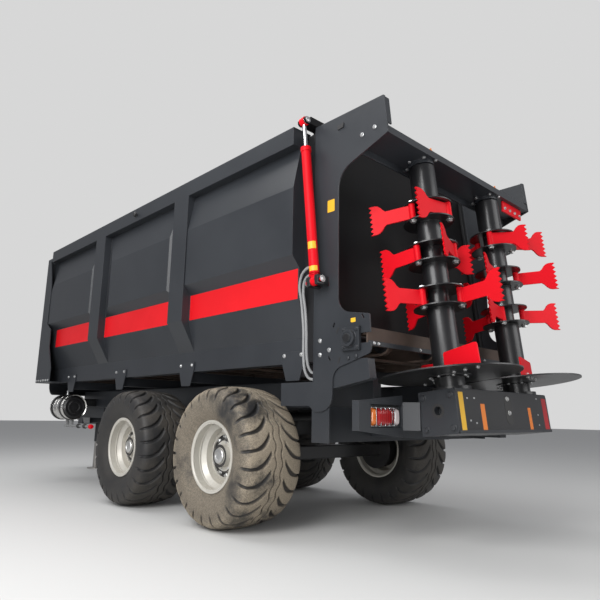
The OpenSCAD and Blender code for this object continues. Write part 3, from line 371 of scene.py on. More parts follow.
def swept(path: Array, radius: float, sides: int) -> Shell:
    """A circle carried along a path, square to it at every point: p + radius (cos a u + sin a v).

    Args:
        path: points of the path, n by 3.
        radius: radius of the circle.
        sides: points on the circle.

    Returns:
        The shell, closed at both ends.
    """
    p = np.asarray(path, float)
    t = np.gradient(p, axis=0)
    t /= np.linalg.norm(t, axis=1, keepdims=True)
    first, second = SWEEP_HINTS
    u = np.cross(t, first if np.abs(t @ unit(first)).max() < NEARLY_ALONG else second)
    u /= np.linalg.norm(u, axis=1, keepdims=True)
    v = np.cross(t, u)
    a = even_angles(sides)[None, :, None]
    return rings(p[:, None] + radius * (np.cos(a) * u[:, None] + np.sin(a) * v[:, None]))


def ring(outer: float, inner: float, low: float, high: float, sides: int = 32) -> Shell:
    """A ring about Z: a rectangle of radius and height carried round the axis, closed on itself.

    Args:
        outer: outer radius.
        inner: inner radius.
        low: height of its foot.
        high: height of its top.
        sides: how many steps round the axis.

    Returns:
        The closed shell.
    """
    r, h = np.array([[outer], [outer], [inner], [inner]]), np.array([[low], [high], [high], [low]])
    grid = about_z(r, h, even_angles(sides)[None, :])
    return Shell(grid.reshape(-1, 3), grid_quads(4, sides, wrap_rows=True, wrap_cols=True))


def bead(radius: float, thick: float, height: float, sides: int = 40) -> Shell:
    """A weld bead or rolled edge: a small circle carried round Z at a radius and height.

    Args:
        radius: distance of the small circle from the axis.
        thick: the small circle's radius.
        height: height of its middle.
        sides: how many steps round the axis.

    Returns:
        The closed shell.
    """
    b = even_angles(BEAD_SIDES)[:, None]
    grid = about_z(radius + thick * np.cos(b), height + thick * np.sin(b), even_angles(sides)[None, :])
    return Shell(grid.reshape(-1, 3), grid_quads(BEAD_SIDES, sides, wrap_rows=True, wrap_cols=True))


def arc_band(radii: Pair, heights: Pair, angles: Pair, steps: int = 14) -> Shell:
    """Part of a ring about Z: a rectangle of radius and height carried from one angle to another.

    Args:
        radii: inner and outer radius.
        heights: heights of its foot and its top.
        angles: start and end angle.
        steps: points along the arc.

    Returns:
        The closed shell.
    """
    (inner, outer), (low, high) = radii, heights
    a = np.radians(np.linspace(*angles, steps))[:, None]
    return rings(about_z(np.array([[inner, inner, outer, outer]]), np.array([[low, high, high, low]]), a))


def border(index: Array) -> Array:
    """Entries round a grid's border, once each: first row, last column, last row and first column back."""
    return np.concatenate([index[0], index[1:, -1], index[-1, -2::-1], index[-2:0:-1, 0]])


def thick_sheet(grid: Array, depth: float, normal: Array) -> Shell:
    """A grid of points given a thickness: half the depth either side of it, joined round the border.

    Args:
        grid: rows by columns by 3 points, whose columns crossed with its rows point along the normal.
        depth: the thickness.
        normal: the direction of the thickness.

    Returns:
        The closed shell.
    """
    rows, cols = grid.shape[:2]
    n = rows * cols
    lift = np.asarray(normal, float) * depth / 2
    loop = border(np.arange(n).reshape(rows, cols))
    after = np.roll(loop, -1)
    face = grid_quads(rows, cols)
    rim = np.stack([loop + n, after + n, after, loop], 1)
    points = grid.reshape(-1, 3)
    faces = np.concatenate([face, face[:, ::-1] + n, rim])
    return Shell(np.concatenate([points + lift, points - lift]), faces)


def hex_bolt(across: float) -> Shell:
    """A hexagon head with a chamfered top on a round washer, standing on Z = 0.

    Args:
        across: width across the hexagon's flats.

    Returns:
        Washer and head.
    """
    r, h = across / 2, across * HEAD_HEIGHT
    washer = turned([(r * a, h * b) for a, b in WASHER], WASHER_SIDES)
    return joined([washer, turned([(r * a, h * b) for a, b in HEXAGON], HEXAGON_SIDES)])


def dome_head(radius: float, height: float, sides: int = 14) -> Shell:
    """A round head: an upright rim under a quarter ellipse, r = R cos t and z = H (rim + (1 - rim) sin t).

    Args:
        radius: radius R of the rim.
        height: height H of the head.
        sides: how many steps round the axis.

    Returns:
        The closed shell.
    """
    t = np.linspace(0, math.pi / 2 * DOME_RUN, DOME_STEPS)
    curve = np.stack([radius * np.cos(t), height * (DOME_RIM + (1 - DOME_RIM) * np.sin(t))], 1)
    return turned(np.concatenate([[(radius, 0.0)], curve]), sides)


def scattered(shell: Shell, places: list[Array], normal: Array) -> Shell:
    """Copies of a shell at several places, all standing along one normal, each turned a little further.

    Args:
        shell: the shell, standing on Z = 0.
        places: where the copies stand.
        normal: the direction in which they stand.

    Returns:
        The copies as one shell.
    """
    b = basis(normal)
    turns = np.stack([b @ turn_z(BOLT_TWIST * i) for i in range(len(places))])
    return shell.repeated(turns, np.stack(places))


def to_object(
    name: str, shell: Shell, finish: bpy.types.Material, body: str, crease: float = 35.0
) -> bpy.types.Object:
    """Puts a shell into a mesh object, gives it its finish and lets it move with its body.

    Args:
        name: the piece's name.
        shell: its points and faces, in the machine's frame.
        finish: the material.
        body: name of the body that carries it.
        crease: edges sharper than this angle stay hard.

    Returns:
        The new object.
    """
    mesh = bpy.data.meshes.new(name)
    mesh.from_pydata(shell.verts.tolist(), [], shell.quads.tolist() + shell.tris.tolist())
    mesh.polygons.foreach_set("use_smooth", np.ones(len(mesh.polygons), bool))
    mesh.set_sharp_from_angle(angle=math.radians(crease))
    mesh.materials.append(finish)
    obj = bpy.data.objects.new(name, mesh)
    bpy.context.scene.collection.objects.link(obj)
    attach(obj, body)
    LOG.info("%s: %d faces on %s", name, len(mesh.polygons), body)
    return obj


@dataclass(frozen=True)
class Blotch:
    """Noise of one size drawn apart into patches, which start at its low value and are full at its high."""

    scale: float
    detail: float
    rough: float
    low: float
    high: float


# Patches of the shared effects and of the earth on the tyres
WORN_PATCHES = Blotch(7.0, 5.0, 0.7, 0.45, 0.62)
DUST_CLOUDS = Blotch(2.3, 6.0, 0.65, 0.3, 0.75)
DUST_SPECKS = Blotch(55.0, 3.0, 0.6, 0.35, 0.7)
EARTH_CLOUDS = Blotch(2.6, 6.0, 0.65, 0.30, 0.60)
EARTH_CRUMBS = Blotch(70.0, 5.0, 0.7, 0.3, 0.66)
EARTH_GRIT = Blotch(380.0, 2.0, 0.6, 0.42, 0.62)

# How far the softened normal leaves the true one where wear starts and where it is full
WEAR_RAMP = (0.02, 0.22)
BEVEL_SAMPLES = 4
# Slope at which dust starts to lie and is full, the shares of height and slope, of clouds and specks
LIE_RAMP = (0.2, 1.0)
NEAR_SHARE, LIE_SHARE = 0.6, 0.7
CLOUD_SHARE, SPECK_SHARE = 0.65, 0.35
# Height of the grain's bump, and the slow noise that passes from a finish's first tone to its second
GRAIN_HEIGHT = 0.002
GRAIN_DETAIL = 2.0
TONE_NOISE = (1.4, 5.0, 0.6)
TONE_RAMP = (0.3, 0.7)
# What tone and dust add to a finish's roughness
TONE_ROUGH, DUST_ROUGH = 0.06, 0.4
DUST_COLOUR = (0.34, 0.29, 0.22, 1.0)
COAT_ROUGH = 0.12


class Sketch:
    """A node tree with short ways to add nodes and join them."""

    def __init__(self, tree: bpy.types.NodeTree) -> None:
        """Keeps the tree."""
        self.tree = tree

    def add(self, kind: str, settings: dict | None = None, **inputs: object) -> bpy.types.Node:
        """Adds a node.

        Args:
            kind: the node's type name after "ShaderNode".
            settings: properties of the node.
            **inputs: values or sockets of its inputs, by name with _ for spaces, or _0, _1 by place.

        Returns:
            The node.
        """
        node = self.tree.nodes.new("ShaderNode" + kind)
        for key, value in (settings or {}).items():
            setattr(node, key, value)
        for key, value in inputs.items():
            socket = node.inputs[int(key[1:])] if key[0] == "_" else node.inputs[key.replace("_", " ")]
            if isinstance(value, bpy.types.NodeSocket):
                self.tree.links.new(value, socket)
            else:
                socket.default_value = value
        return node

    def link(self, source: bpy.types.NodeSocket, target: bpy.types.NodeSocket) -> None:
        """Joins an output to an input."""
        self.tree.links.new(source, target)

    def coord(self) -> bpy.types.NodeSocket:
        """The place on the piece, in the machine's frame."""
        return self.add("TexCoord").outputs["Object"]

    def math(
        self, operation: str, a: object, b: object = 0.0, c: object = 0.0, clamp: bool = False
    ) -> bpy.types.NodeSocket:
        """A sum or other operation on up to three values."""
        return self.add("Math", {"operation": operation, "use_clamp": clamp}, _0=a, _1=b, _2=c).outputs[0]

    def product(self, a: object, b: object, clamp: bool = False) -> bpy.types.NodeSocket:
        """Two values multiplied."""
        return self.math("MULTIPLY", a, b, clamp=clamp)

    def mix(self, factor: object, a: object, b: object) -> bpy.types.NodeSocket:
        """Colour a passing into colour b as the factor rises."""
        return self.add("Mix", {"data_type": "RGBA"}, _0=factor, _6=a, _7=b).outputs[2]

    def ramp(self, value: object, low: object, high: object) -> bpy.types.NodeSocket:
        """A value taken from 0 at low to 1 at high, smoothly."""
        smooth = {"interpolation_type": "SMOOTHSTEP"}
        return self.add("MapRange", smooth, Value=value, From_Min=low, From_Max=high).outputs[0]

    def noise(self, vector: object, scale: float, detail: float, rough: float) -> bpy.types.NodeSocket:
        """Soft noise from 0 to 1."""
        node = self.add("TexNoise", None, Vector=vector, Scale=scale, Detail=detail, Roughness=rough)
        return node.outputs["Fac"]

    def patches(self, vector: object, blotch: Blotch) -> bpy.types.NodeSocket:
        """Noise drawn apart into patches, 0 between them and 1 on them."""
        value = self.noise(vector, blotch.scale, blotch.detail, blotch.rough)
        return self.ramp(value, blotch.low, blotch.high)


def new_group(
    name: str, inputs: list[tuple[str, str, object]], outputs: list[tuple[str, str]]
) -> tuple[Sketch, bpy.types.Node, bpy.types.Node]:
    """An empty shader group with its sockets.

    Args:
        name: the group's name.
        inputs: name, socket type and default of each input.
        outputs: name and socket type of each output.

    Returns:
        The sketch of its tree, its input node and its output node.
    """
    tree = bpy.data.node_groups.new(name, "ShaderNodeTree")
    for label, kind, value in inputs:
        socket = tree.interface.new_socket(label, in_out="INPUT", socket_type=kind)
        socket.default_value = value
    for label, kind in outputs:
        tree.interface.new_socket(label, in_out="OUTPUT", socket_type=kind)
    return Sketch(tree), tree.nodes.new("NodeGroupInput"), tree.nodes.new("NodeGroupOutput")


def edge_group() -> bpy.types.NodeTree:
    """Rounded edges: a normal softened at corners, and a mask that is high where it leaves the true normal.

    Returns:
        The group, with inputs Radius and Wear and outputs Normal and Mask.
    """
    s, gin, gout = new_group(
        "soft_edges",
        [("Radius", "NodeSocketFloat", 0.004), ("Wear", "NodeSocketFloat", 0.5)],
        [("Normal", "NodeSocketVector"), ("Mask", "NodeSocketFloat")],
    )
    soft = s.add("Bevel", {"samples": BEVEL_SAMPLES}, Radius=gin.outputs["Radius"]).outputs[0]
    true = s.add("NewGeometry").outputs["True Normal"]
    same = s.add("VectorMath", {"operation": "DOT_PRODUCT"}, _0=soft, _1=true).outputs["Value"]
    edge = s.ramp(s.math("SUBTRACT", 1.0, same), *WEAR_RAMP)
    worn = s.product(edge, s.patches(s.coord(), WORN_PATCHES))
    s.link(soft, gout.inputs["Normal"])
    s.link(s.product(worn, gin.outputs["Wear"], clamp=True), gout.inputs["Mask"])
    return s.tree


def dust_group() -> bpy.types.NodeTree:
    """Dust: more on faces that look up and near the ground, broken by noise of two sizes.

    Returns:
        The group, with inputs Amount, Low and High and output Mask.
    """
    s, gin, gout = new_group(
        "settled_dust",
        [
            ("Amount", "NodeSocketFloat", 0.3),
            ("Low", "NodeSocketFloat", 0.2),
            ("High", "NodeSocketFloat", 1.6),
        ],
        [("Mask", "NodeSocketFloat")],
    )
    coord = s.coord()
    height = s.add("SeparateXYZ", None, Vector=coord).outputs["Z"]
    up = s.add("SeparateXYZ", None, Vector=s.add("NewGeometry").outputs["Normal"]).outputs["Z"]
    near = s.ramp(height, gin.outputs["High"], gin.outputs["Low"])
    cover = s.math("ADD", s.product(near, NEAR_SHARE), s.product(s.ramp(up, *LIE_RAMP), LIE_SHARE))
    clouds = s.product(s.patches(coord, DUST_CLOUDS), CLOUD_SHARE)
    both = s.math("ADD", clouds, s.product(s.patches(coord, DUST_SPECKS), SPECK_SHARE))
    s.link(s.product(s.product(cover, both), gin.outputs["Amount"], clamp=True), gout.inputs["Mask"])
    return s.tree


def grain_group() -> bpy.types.NodeTree:
    """Fine surface grain: a bumped normal from small noise, and a wide slow tone from large noise.

    Returns:
        The group, with inputs Scale, Depth and Normal and outputs Normal and Tone.
    """
    s, gin, gout = new_group(
        "surface_grain",
        [
            ("Scale", "NodeSocketFloat", 300.0),
            ("Depth", "NodeSocketFloat", 0.1),
            ("Normal", "NodeSocketVector", (0.0, 0.0, 0.0)),
        ],
        [("Normal", "NodeSocketVector"), ("Tone", "NodeSocketFloat")],
    )
    coord = s.coord()
    fine = s.add("TexNoise", None, Vector=coord, Scale=gin.outputs["Scale"], Detail=GRAIN_DETAIL)
    bump = s.add(
        "Bump", None, Strength=gin.outputs["Depth"], Distance=GRAIN_HEIGHT,
        Height=fine.outputs["Fac"], Normal=gin.outputs["Normal"],
    )
    s.link(bump.outputs[0], gout.inputs["Normal"])
    s.link(s.noise(coord, *TONE_NOISE), gout.inputs["Tone"])
    return s.tree


@dataclass(frozen=True)
class Shared:
    """The three shared effects."""

    edges: bpy.types.NodeTree
    dust: bpy.types.NodeTree
    grain: bpy.types.NodeTree


def new_material(name: str) -> tuple[bpy.types.Material, Sketch, bpy.types.Node]:
    """A material with nodes.

    Args:
        name: the material's name.

    Returns:
        The material, the sketch of its tree and its shader.
    """
    mat = bpy.data.materials.new(name)
    mat.use_nodes = True
    return mat, Sketch(mat.node_tree), mat.node_tree.nodes["Principled BSDF"]


@dataclass(frozen=True)
class Finish:
    """A coat or bare surface, with its wear, dust and grain."""

    name: str
    colour: Triple
    second: Triple
    rough: float = 0.4
    metal: float = 0.0
    coat: float = 0.0
    edge: float = 0.004
    wear: float = 0.25
    worn: Triple = (0.32, 0.32, 0.33)
    dust: float = 0.25
    grain: float = 0.08
    grain_scale: float = 320.0
    specular: float = 0.5

    def material(self, shared: Shared) -> bpy.types.Material:
        """Builds the material: two tones of the colour, worn edges, dust on top, grain and rounded edges.

        Args:
            shared: the shared effect groups.

        Returns:
            The material.
        """
        mat, s, shader = new_material(self.name)
        edges = s.add("Group", {"node_tree": shared.edges}, Radius=self.edge, Wear=self.wear).outputs
        grain = s.add(
            "Group", {"node_tree": shared.grain},
            Scale=self.grain_scale, Depth=self.grain, Normal=edges["Normal"],
        ).outputs
        dust = s.add("Group", {"node_tree": shared.dust}, Amount=self.dust).outputs["Mask"]
        tone = s.ramp(grain["Tone"], *TONE_RAMP)
        base = s.mix(tone, (*self.colour, 1.0), (*self.second, 1.0))
        worn = s.mix(edges["Mask"], base, (*self.worn, 1.0))
        rough = s.math("MULTIPLY_ADD", tone, TONE_ROUGH, self.rough - TONE_ROUGH / 2)
        s.link(s.mix(dust, worn, DUST_COLOUR), shader.inputs["Base Color"])
        s.link(s.math("MULTIPLY_ADD", dust, DUST_ROUGH, rough, clamp=True), shader.inputs["Roughness"])
        s.link(grain["Normal"], shader.inputs["Normal"])
        shader.inputs["Metallic"].default_value = self.metal
        shader.inputs["Coat Weight"].default_value = self.coat
        shader.inputs["Coat Roughness"].default_value = COAT_ROUGH
        shader.inputs["Specular IOR Level"].default_value = self.specular
        return mat


@dataclass(frozen=True)
class Rubber:
    """Tyre rubber with earth dried on its lugs and sidewalls.

    Each share is a gain and a start: how much of the earth's cover follows the crown, the crumbs and the
    lugs, and how far the earth raises the roughness.
    """

    name: str
    earth: float
    colour: Triple = (0.016, 0.016, 0.017)
    soil: Triple = (0.185, 0.150, 0.108)
    pale: Triple = (0.40, 0.345, 0.265)
    crown_share: Pair = (0.52, 0.34)
    crumb_share: Pair = (0.5, 0.55)
    lug_share: Pair = (0.9, 0.1)
    rough_share: Pair = (0.3, 0.58)
    gain: float = 2.1
    grain: float = 0.18
    grain_scale: float = 420.0

    def material(self, shared: Shared) -> bpy.types.Material:
        """Builds the rubber: black, browned by soil in blotches, paler on the lugs by their own attribute.

        Args:
            shared: the shared effect groups.

        Returns:
            The material.
        """
        mat, s, shader = new_material(self.name)
        coord = s.coord()
        lug, crown = (s.add("Attribute", {"attribute_name": n}).outputs["Fac"] for n in ("lug", "crown"))
        cover = s.product(s.math("MULTIPLY_ADD", crown, *self.crown_share), s.patches(coord, EARTH_CLOUDS))
        mask = s.product(cover, s.math("MULTIPLY_ADD", s.patches(coord, EARTH_CRUMBS), *self.crumb_share))
        mask = s.product(mask, s.math("MULTIPLY_ADD", s.product(lug, lug), *self.lug_share))
        mask = s.product(mask, self.earth * self.gain, clamp=True)
        grit = s.product(s.patches(coord, EARTH_GRIT), lug)
        soil = s.mix(grit, (*self.soil, 1.0), (*self.pale, 1.0))
        grain = s.add("Group", {"node_tree": shared.grain}, Scale=self.grain_scale, Depth=self.grain)
        s.link(s.mix(mask, (*self.colour, 1.0), soil), shader.inputs["Base Color"])
        s.link(s.math("MULTIPLY_ADD", mask, *self.rough_share), shader.inputs["Roughness"])
        s.link(grain.outputs["Normal"], shader.inputs["Normal"])
        return mat


def film_finish(name: str, colour: Triple, second: Triple, rough: float = 0.45, **more: float) -> Finish:
    """A thin stuck film: crisp edges without wear."""
    return Finish(name, colour, second, rough, edge=0.0005, wear=0.0, **more)


def lens_finish(name: str, colour: Triple, second: Triple, rough: float = 0.12) -> Finish:
    """A lamp's lens: smooth, coated and clean."""
    return Finish(name, colour, second, rough, coat=0.5, edge=0.001, wear=0.0, dust=0.0, grain=0.0)


class Coat(Enum):
    """The finishes of the machine, each with the slot of the record that it belongs to."""

    GREY = ("body_paint", Finish(
        "anthracite_paint", (0.021, 0.0235, 0.028), (0.028, 0.031, 0.036), 0.40,
        coat=0.04, wear=0.3, worn=(0.20, 0.20, 0.21), dust=0.05, specular=0.4))
    BLACK = ("black_paint", Finish(
        "black_paint", (0.0075, 0.0075, 0.0085), (0.012, 0.012, 0.0135), 0.33,
        coat=0.15, wear=0.3, worn=(0.18, 0.18, 0.18), dust=0.05))
    RED = ("red_paint", Finish(
        "red_paint", (0.70, 0.004, 0.013), (0.63, 0.003, 0.010), 0.46,
        wear=0.12, worn=(0.78, 0.10, 0.09), dust=0.0, specular=0.15))
    BAND = ("red_paint", film_finish(
        "red_band_film", (0.72, 0.008, 0.014), (0.64, 0.006, 0.011), dust=0.0, specular=0.25))
    RIM = ("rim_paint", Finish(
        "silver_wheel_paint", (0.50, 0.485, 0.44), (0.60, 0.58, 0.53), 0.36,
        metal=0.25, wear=0.25, worn=(0.80, 0.79, 0.74), dust=0.45))
    STAINLESS = ("stainless", Finish(
        "stainless_sheet", (0.62, 0.61, 0.585), (0.70, 0.69, 0.66), 0.16,
        metal=1.0, wear=0.0, dust=0.05, grain=0.03))
    CHROME = ("chrome_rod", Finish(
        "hard_chrome", (0.72, 0.72, 0.73), (0.78, 0.78, 0.79), 0.08,
        metal=1.0, wear=0.0, dust=0.0, grain=0.0))
    ZINC = ("bare_steel", Finish(
        "zinc_plate", (0.52, 0.53, 0.54), (0.62, 0.62, 0.61), 0.3,
        metal=0.9, edge=0.001, wear=0.2, worn=(0.8, 0.8, 0.8), dust=0.05))
    STEEL = ("bare_steel", Finish(
        "bare_steel", (0.33, 0.32, 0.31), (0.42, 0.40, 0.38), 0.42,
        metal=0.8, wear=0.3, worn=(0.6, 0.6, 0.6), dust=0.2))
    FLOOR = ("floor_steel", Finish(
        "brown_primed_steel", (0.060, 0.042, 0.034), (0.105, 0.074, 0.058), 0.65,
        wear=0.35, worn=(0.22, 0.17, 0.14), dust=0.3, grain=0.3, grain_scale=120.0, specular=0.3))
    HOSE = ("hose", Finish(
        "grey_hose_sleeve", (0.20, 0.205, 0.21), (0.26, 0.262, 0.265), 0.6,
        edge=0.001, wear=0.0, dust=0.1, grain=0.25, grain_scale=700.0))
    AMBER = ("lamp_lens", lens_finish("amber_lens", (0.55, 0.11, 0.008), (0.62, 0.15, 0.01)))
    LENS = ("lamp_lens", lens_finish("red_lens", (0.28, 0.004, 0.006), (0.36, 0.006, 0.008)))
    CLEAR = ("lamp_lens", lens_finish("clear_lens", (0.42, 0.36, 0.36), (0.50, 0.45, 0.45), 0.10))
    YELLOW = ("red_paint", film_finish("yellow_film", (0.78, 0.45, 0.02), (0.72, 0.40, 0.02), dust=0.05))
    ORANGE = ("red_paint", film_finish("orange_film", (0.80, 0.22, 0.02), (0.74, 0.19, 0.02), dust=0.05))
    INNER = ("black_paint", Finish(
        "inner_black_paint", (0.005, 0.005, 0.006), (0.010, 0.009, 0.009), 0.6,
        wear=0.1, worn=(0.06, 0.06, 0.06), dust=0.02, specular=0.15))
    REFLEX = ("red_paint", film_finish(
        "red_reflex_film", (0.42, 0.006, 0.010), (0.36, 0.005, 0.009), 0.4, dust=0.03))
    PLASTIC = ("black_paint", Finish(
        "black_plastic", (0.015, 0.015, 0.016), (0.022, 0.022, 0.023), 0.5,
        edge=0.001, wear=0.0, dust=0.12, grain=0.2))

    @property
    def slot(self) -> str:
        """The record's material slot."""
        return self.value[0]

    @property
    def finish(self) -> Finish:
        """The finish itself."""
        return self.value[1]


class Palette:
    """Materials made once from the finishes."""

    def __init__(self) -> None:
        """Makes the shared groups and every material."""
        self.shared = Shared(edge_group(), dust_group(), grain_group())
        self.made = {coat: coat.finish.material(self.shared) for coat in Coat}

    def put(self, name: str, shell: Shell, coat: Coat, body: str = Body.FRAME.value) -> bpy.types.Object:
        """Makes an object of a shell in one of the finishes, carried by a body."""
        return to_object(name, shell, self.made[coat], body)


@dataclass
class SolidCoats:
    """Which finish each solid of the machine takes, by its name or by how its name starts."""

    special: dict[str, Coat] = field(default_factory=lambda: {
        "tow_eye": Coat.STEEL, "jack_leg": Coat.STEEL, "rods": Coat.CHROME, "air_tank": Coat.STAINLESS,
        "floor_plate": Coat.FLOOR, "floor_guard": Coat.FLOOR, "chain_floor": Coat.FLOOR, "barrels": Coat.RED,
        "door": Coat.INNER, "shaft_bearings": Coat.GREY, "hoses": Coat.HOSE, "lamps": Coat.LENS,
    })
    black: tuple[str, ...] = (
        "springs", "axles", "driveline", "drive_shaft", "idler_shaft", "floor_gearbox", "door_guides",
        "rotor_gearboxes", "tank_cradle", "beater_left", "beater_right", "disc_left", "disc_right",
    )

    def coat_of(self, node: str) -> Coat:
        """The finish for a solid.

        Args:
            node: the solid's name.

        Returns:
            Its finish, the body's grey where nothing else is said.
        """
        if node in self.special:
            return self.special[node]
        if node.startswith(("blades", "vanes")):
            return Coat.RED
        if node.startswith("rim"):
            return Coat.RIM
        return Coat.BLACK if node in self.black else Coat.GREY

    def dress(self, palette: Palette) -> None:
        """Gives every solid its material.

        Args:
            palette: the materials.
        """
        for name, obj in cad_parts.items():
            obj.data.materials.clear()
            obj.data.materials.append(palette.made[self.coat_of(name)])


@dataclass
class Wheels:
    """Tyres with their tread, wheel nuts, rolled rim edges and hub caps, and dark rings of painted shade at
    the hubs.

    Distances along the tyre's section count from the middle of the tread.
    """

    radius: float = 0.59
    axle_gap: float = 1.622
    half_track: float = 1.105
    section: Profile = (
        (0.0, 0.5898), (0.06, 0.589), (0.12, 0.586), (0.18, 0.5805), (0.225, 0.573), (0.258, 0.561),
        (0.279, 0.543), (0.2905, 0.515), (0.297, 0.48), (0.2985, 0.45), (0.295, 0.415), (0.284, 0.375),
        (0.268, 0.345), (0.252, 0.322), (0.2440, 0.3085), (0.2388, 0.3005), (0.2376, 0.2868),
    )
    columns: int = 700
    half_rows: int = 50
    span_steps: int = 24
    samples: int = 4000
    crease: float = 50.0
    # Where the rows lie closer, over what width and how much, and how dense they are on the sidewall
    dense_at: float = 0.032
    dense_width: float = 0.012
    dense_gain: float = 1.6
    wall_density: float = 0.38
    # Lugs, their depth, the hook of the grooves between them, and where grooves and tread start and end
    lugs: int = 25
    lug_depth: float = 0.021
    hook: float = 0.125
    rib: float = 0.075
    shoulder: float = 0.30
    tread_end: float = 0.33
    # Half width of a groove: its least, its swell with the swell's place and width, its growth, and its wall
    groove_least: float = 0.0045
    groove_swell: float = 0.0075
    swell_at: float = 0.30
    swell_width: float = 0.26
    groove_growth: float = 0.005
    groove_wall: float = 0.007
    # How a groove opens before the rib and fades past the shoulder
    open_before: float = 0.008
    open_run: float = 0.012
    fade_run: float = 0.085
    # The wavy groove beside the rib: place, wave, half width, wall and share of the lugs' depth
    rib_groove: float = 0.033
    rib_wave: float = 0.009
    rib_half: float = 0.0036
    rib_wall: float = 0.004
    rib_share: float = 0.85
    # Rounding of the lugs, the shoulder's drawing in at a groove and the crown's end, as starts and runs
    lug_round: float = 0.004
    round_from: Pair = (0.05, 0.2)
    draw_share: float = 0.6
    draw_from: Pair = (0.24, 0.08)
    crown_from: Pair = (0.25, 0.10)
    # How much earth the rear left tyre and the others carry
    earthy: float = 0.92
    clean: float = 0.09
    # Nuts and bolts, each with its circle, the face that it stands on and its width across flats
    nuts: int = 10
    nut_circle: float = 0.1625
    disc_face: float = 0.082
    nut: float = 0.032
    nut_twist: float = 23.0
    nut_turns: Pair = (12.0, 37.0)
    stud: Profile = ((0.010, 0.0), (0.010, 0.026), (0.008, 0.029))
    hub_bolts: int = 8
    hub_circle: float = 0.116
    hub_face: float = 0.110
    hub_bolt: float = 0.016
    cap: Profile = (
        (0.064, 0.0), (0.064, 0.012), (0.058, 0.020), (0.034, 0.024), (0.030, 0.018), (0.012, 0.018))
    cap_face: float = 0.155
    # Rolled edges by radius, thickness, place and steps, and the guard of the valve
    rim_beads: tuple[tuple[float, float, float, int], ...] = (
        (0.2745, 0.006, 0.240, 72), (0.2675, 0.0055, 0.176, 72), (0.180, 0.004, 0.1015, 56))
    guard_size: Triple = (0.075, 0.062, 0.062)
    guard_bevel: float = 0.006
    guard_facing: Triple = (0.07, 0.0, -0.205)
    guard_place: Triple = (-0.0853, 0.135, 0.2497)
    # Dark rings of painted shade at the hub, by outer and inner radius, foot, top and steps
    shade_ring_sizes: tuple[tuple[float, float, float, float, int], ...] = (
        (0.1355, 0.1275, 0.108, 0.1125, 48), (0.184, 0.1365, 0.0815, 0.0835, 56),
        (0.0948, 0.070, 0.1545, 0.1565, 48))

    def rows(self) -> tuple[Array, Array]:
        """Points of the half section, closer together where the tread has its narrow grooves.

        Returns:
            The points as Y and radius, and their distance along the section from the middle of the tread.
        """
        line = smooth_line(np.array(self.section), self.span_steps)
        along = np.concatenate([[0.0], np.cumsum(np.linalg.norm(np.diff(line, axis=0), axis=1))])
        fine = np.linspace(0.0, along[-1], self.samples)
        near = np.exp(-(((fine - self.dense_at) / self.dense_width) ** 2))
        weight = np.where(fine < self.tread_end, 1.0 + self.dense_gain * near, self.wall_density)
        share = np.cumsum(weight)
        at = np.interp(np.linspace(0, 1, self.half_rows), (share - share[0]) / (share[-1] - share[0]), fine)
        return np.stack([np.interp(at, along, line[:, 0]), np.interp(at, along, line[:, 1])], 1), at

    @staticmethod
    def ease(value: Array, start: float, run: float) -> Array:
        """The smooth step 3 t^2 - 2 t^3 of t = (value - start) / run, held between 0 and 1."""
        t = np.clip((value - start) / run, 0.0, 1.0)
        return t * t * (3 - 2 * t)

    def tread(self) -> tuple[Shell, Array, Array]:
        """The tyre about its axle: the section turned round Y, less the depth of its grooves.

        The radius at angle a and distance s from the middle is r(s) minus the groove depth. A shoulder groove
        lies where the arc R a plus hook (1 - u)^3 is a whole number of pitches, u running from the rib to the
        shoulder. A rib groove lies where s is its own distance plus a small sine of the arc.

        Returns:
            The shell, the height of the lugs from 0 to 1 and the share of tread from 0 to 1, for each point.
        """
        half, s = self.rows()
        yr = np.concatenate([half[::-1], half[1:] * np.array([-1.0, 1.0])])
        s = np.concatenate([s[::-1], s[1:]])[:, None]
        side = np.where(np.arange(len(yr)) < len(half), 0.0, 0.5)[:, None]
        a = even_angles(self.columns)[None, :]
        pitch = 2 * math.pi * self.radius / self.lugs
        run = self.shoulder - self.rib
        u = np.clip((s - self.rib) / run, 0.0, 1.0)
        slope = 3 * self.hook * (1 - u) ** 2 / run
        gap = (self.radius * a + self.hook * (1 - u) ** 3 + (side + 0.5) * pitch) % pitch - 0.5 * pitch
        gap = np.abs(gap) / np.sqrt(1 + slope**2)
        swell = self.groove_swell * np.exp(-(((u - self.swell_at) / self.swell_width) ** 2))
        cut = 1 - self.ease(gap, self.groove_least + swell + self.groove_growth * u, self.groove_wall)
        cut = cut * self.ease(s, self.rib - self.open_before, self.open_run)
        cut = cut * (1 - self.ease(s, self.shoulder, self.fade_run))
        wave = self.rib_groove + self.rib_wave * np.sin(self.lugs * a + side * 2 * math.pi)
        rib_cut = 1 - self.ease(np.abs(s - wave), self.rib_half, self.rib_wall)
        depth = np.maximum(cut, self.rib_share * rib_cut)
        inner = (np.clip(gap / (0.5 * pitch), 0, 1) - 1) ** 2
        rounding = self.lug_round * self.ease(s, *self.round_from) * inner * (s < self.tread_end)
        y, r = yr[:, 0:1], yr[:, 1:2] - self.lug_depth * depth - rounding
        y = y - np.sign(y) * self.draw_share * self.lug_depth * cut * self.ease(s, *self.draw_from)
        faces = grid_quads(len(yr), self.columns, wrap_rows=True, wrap_cols=True)
        crown = 1 - self.ease(s, *self.crown_from) + 0 * a
        return Shell(about_y(r, y, a).reshape(-1, 3), faces), (1 - depth).ravel(), crown.ravel()

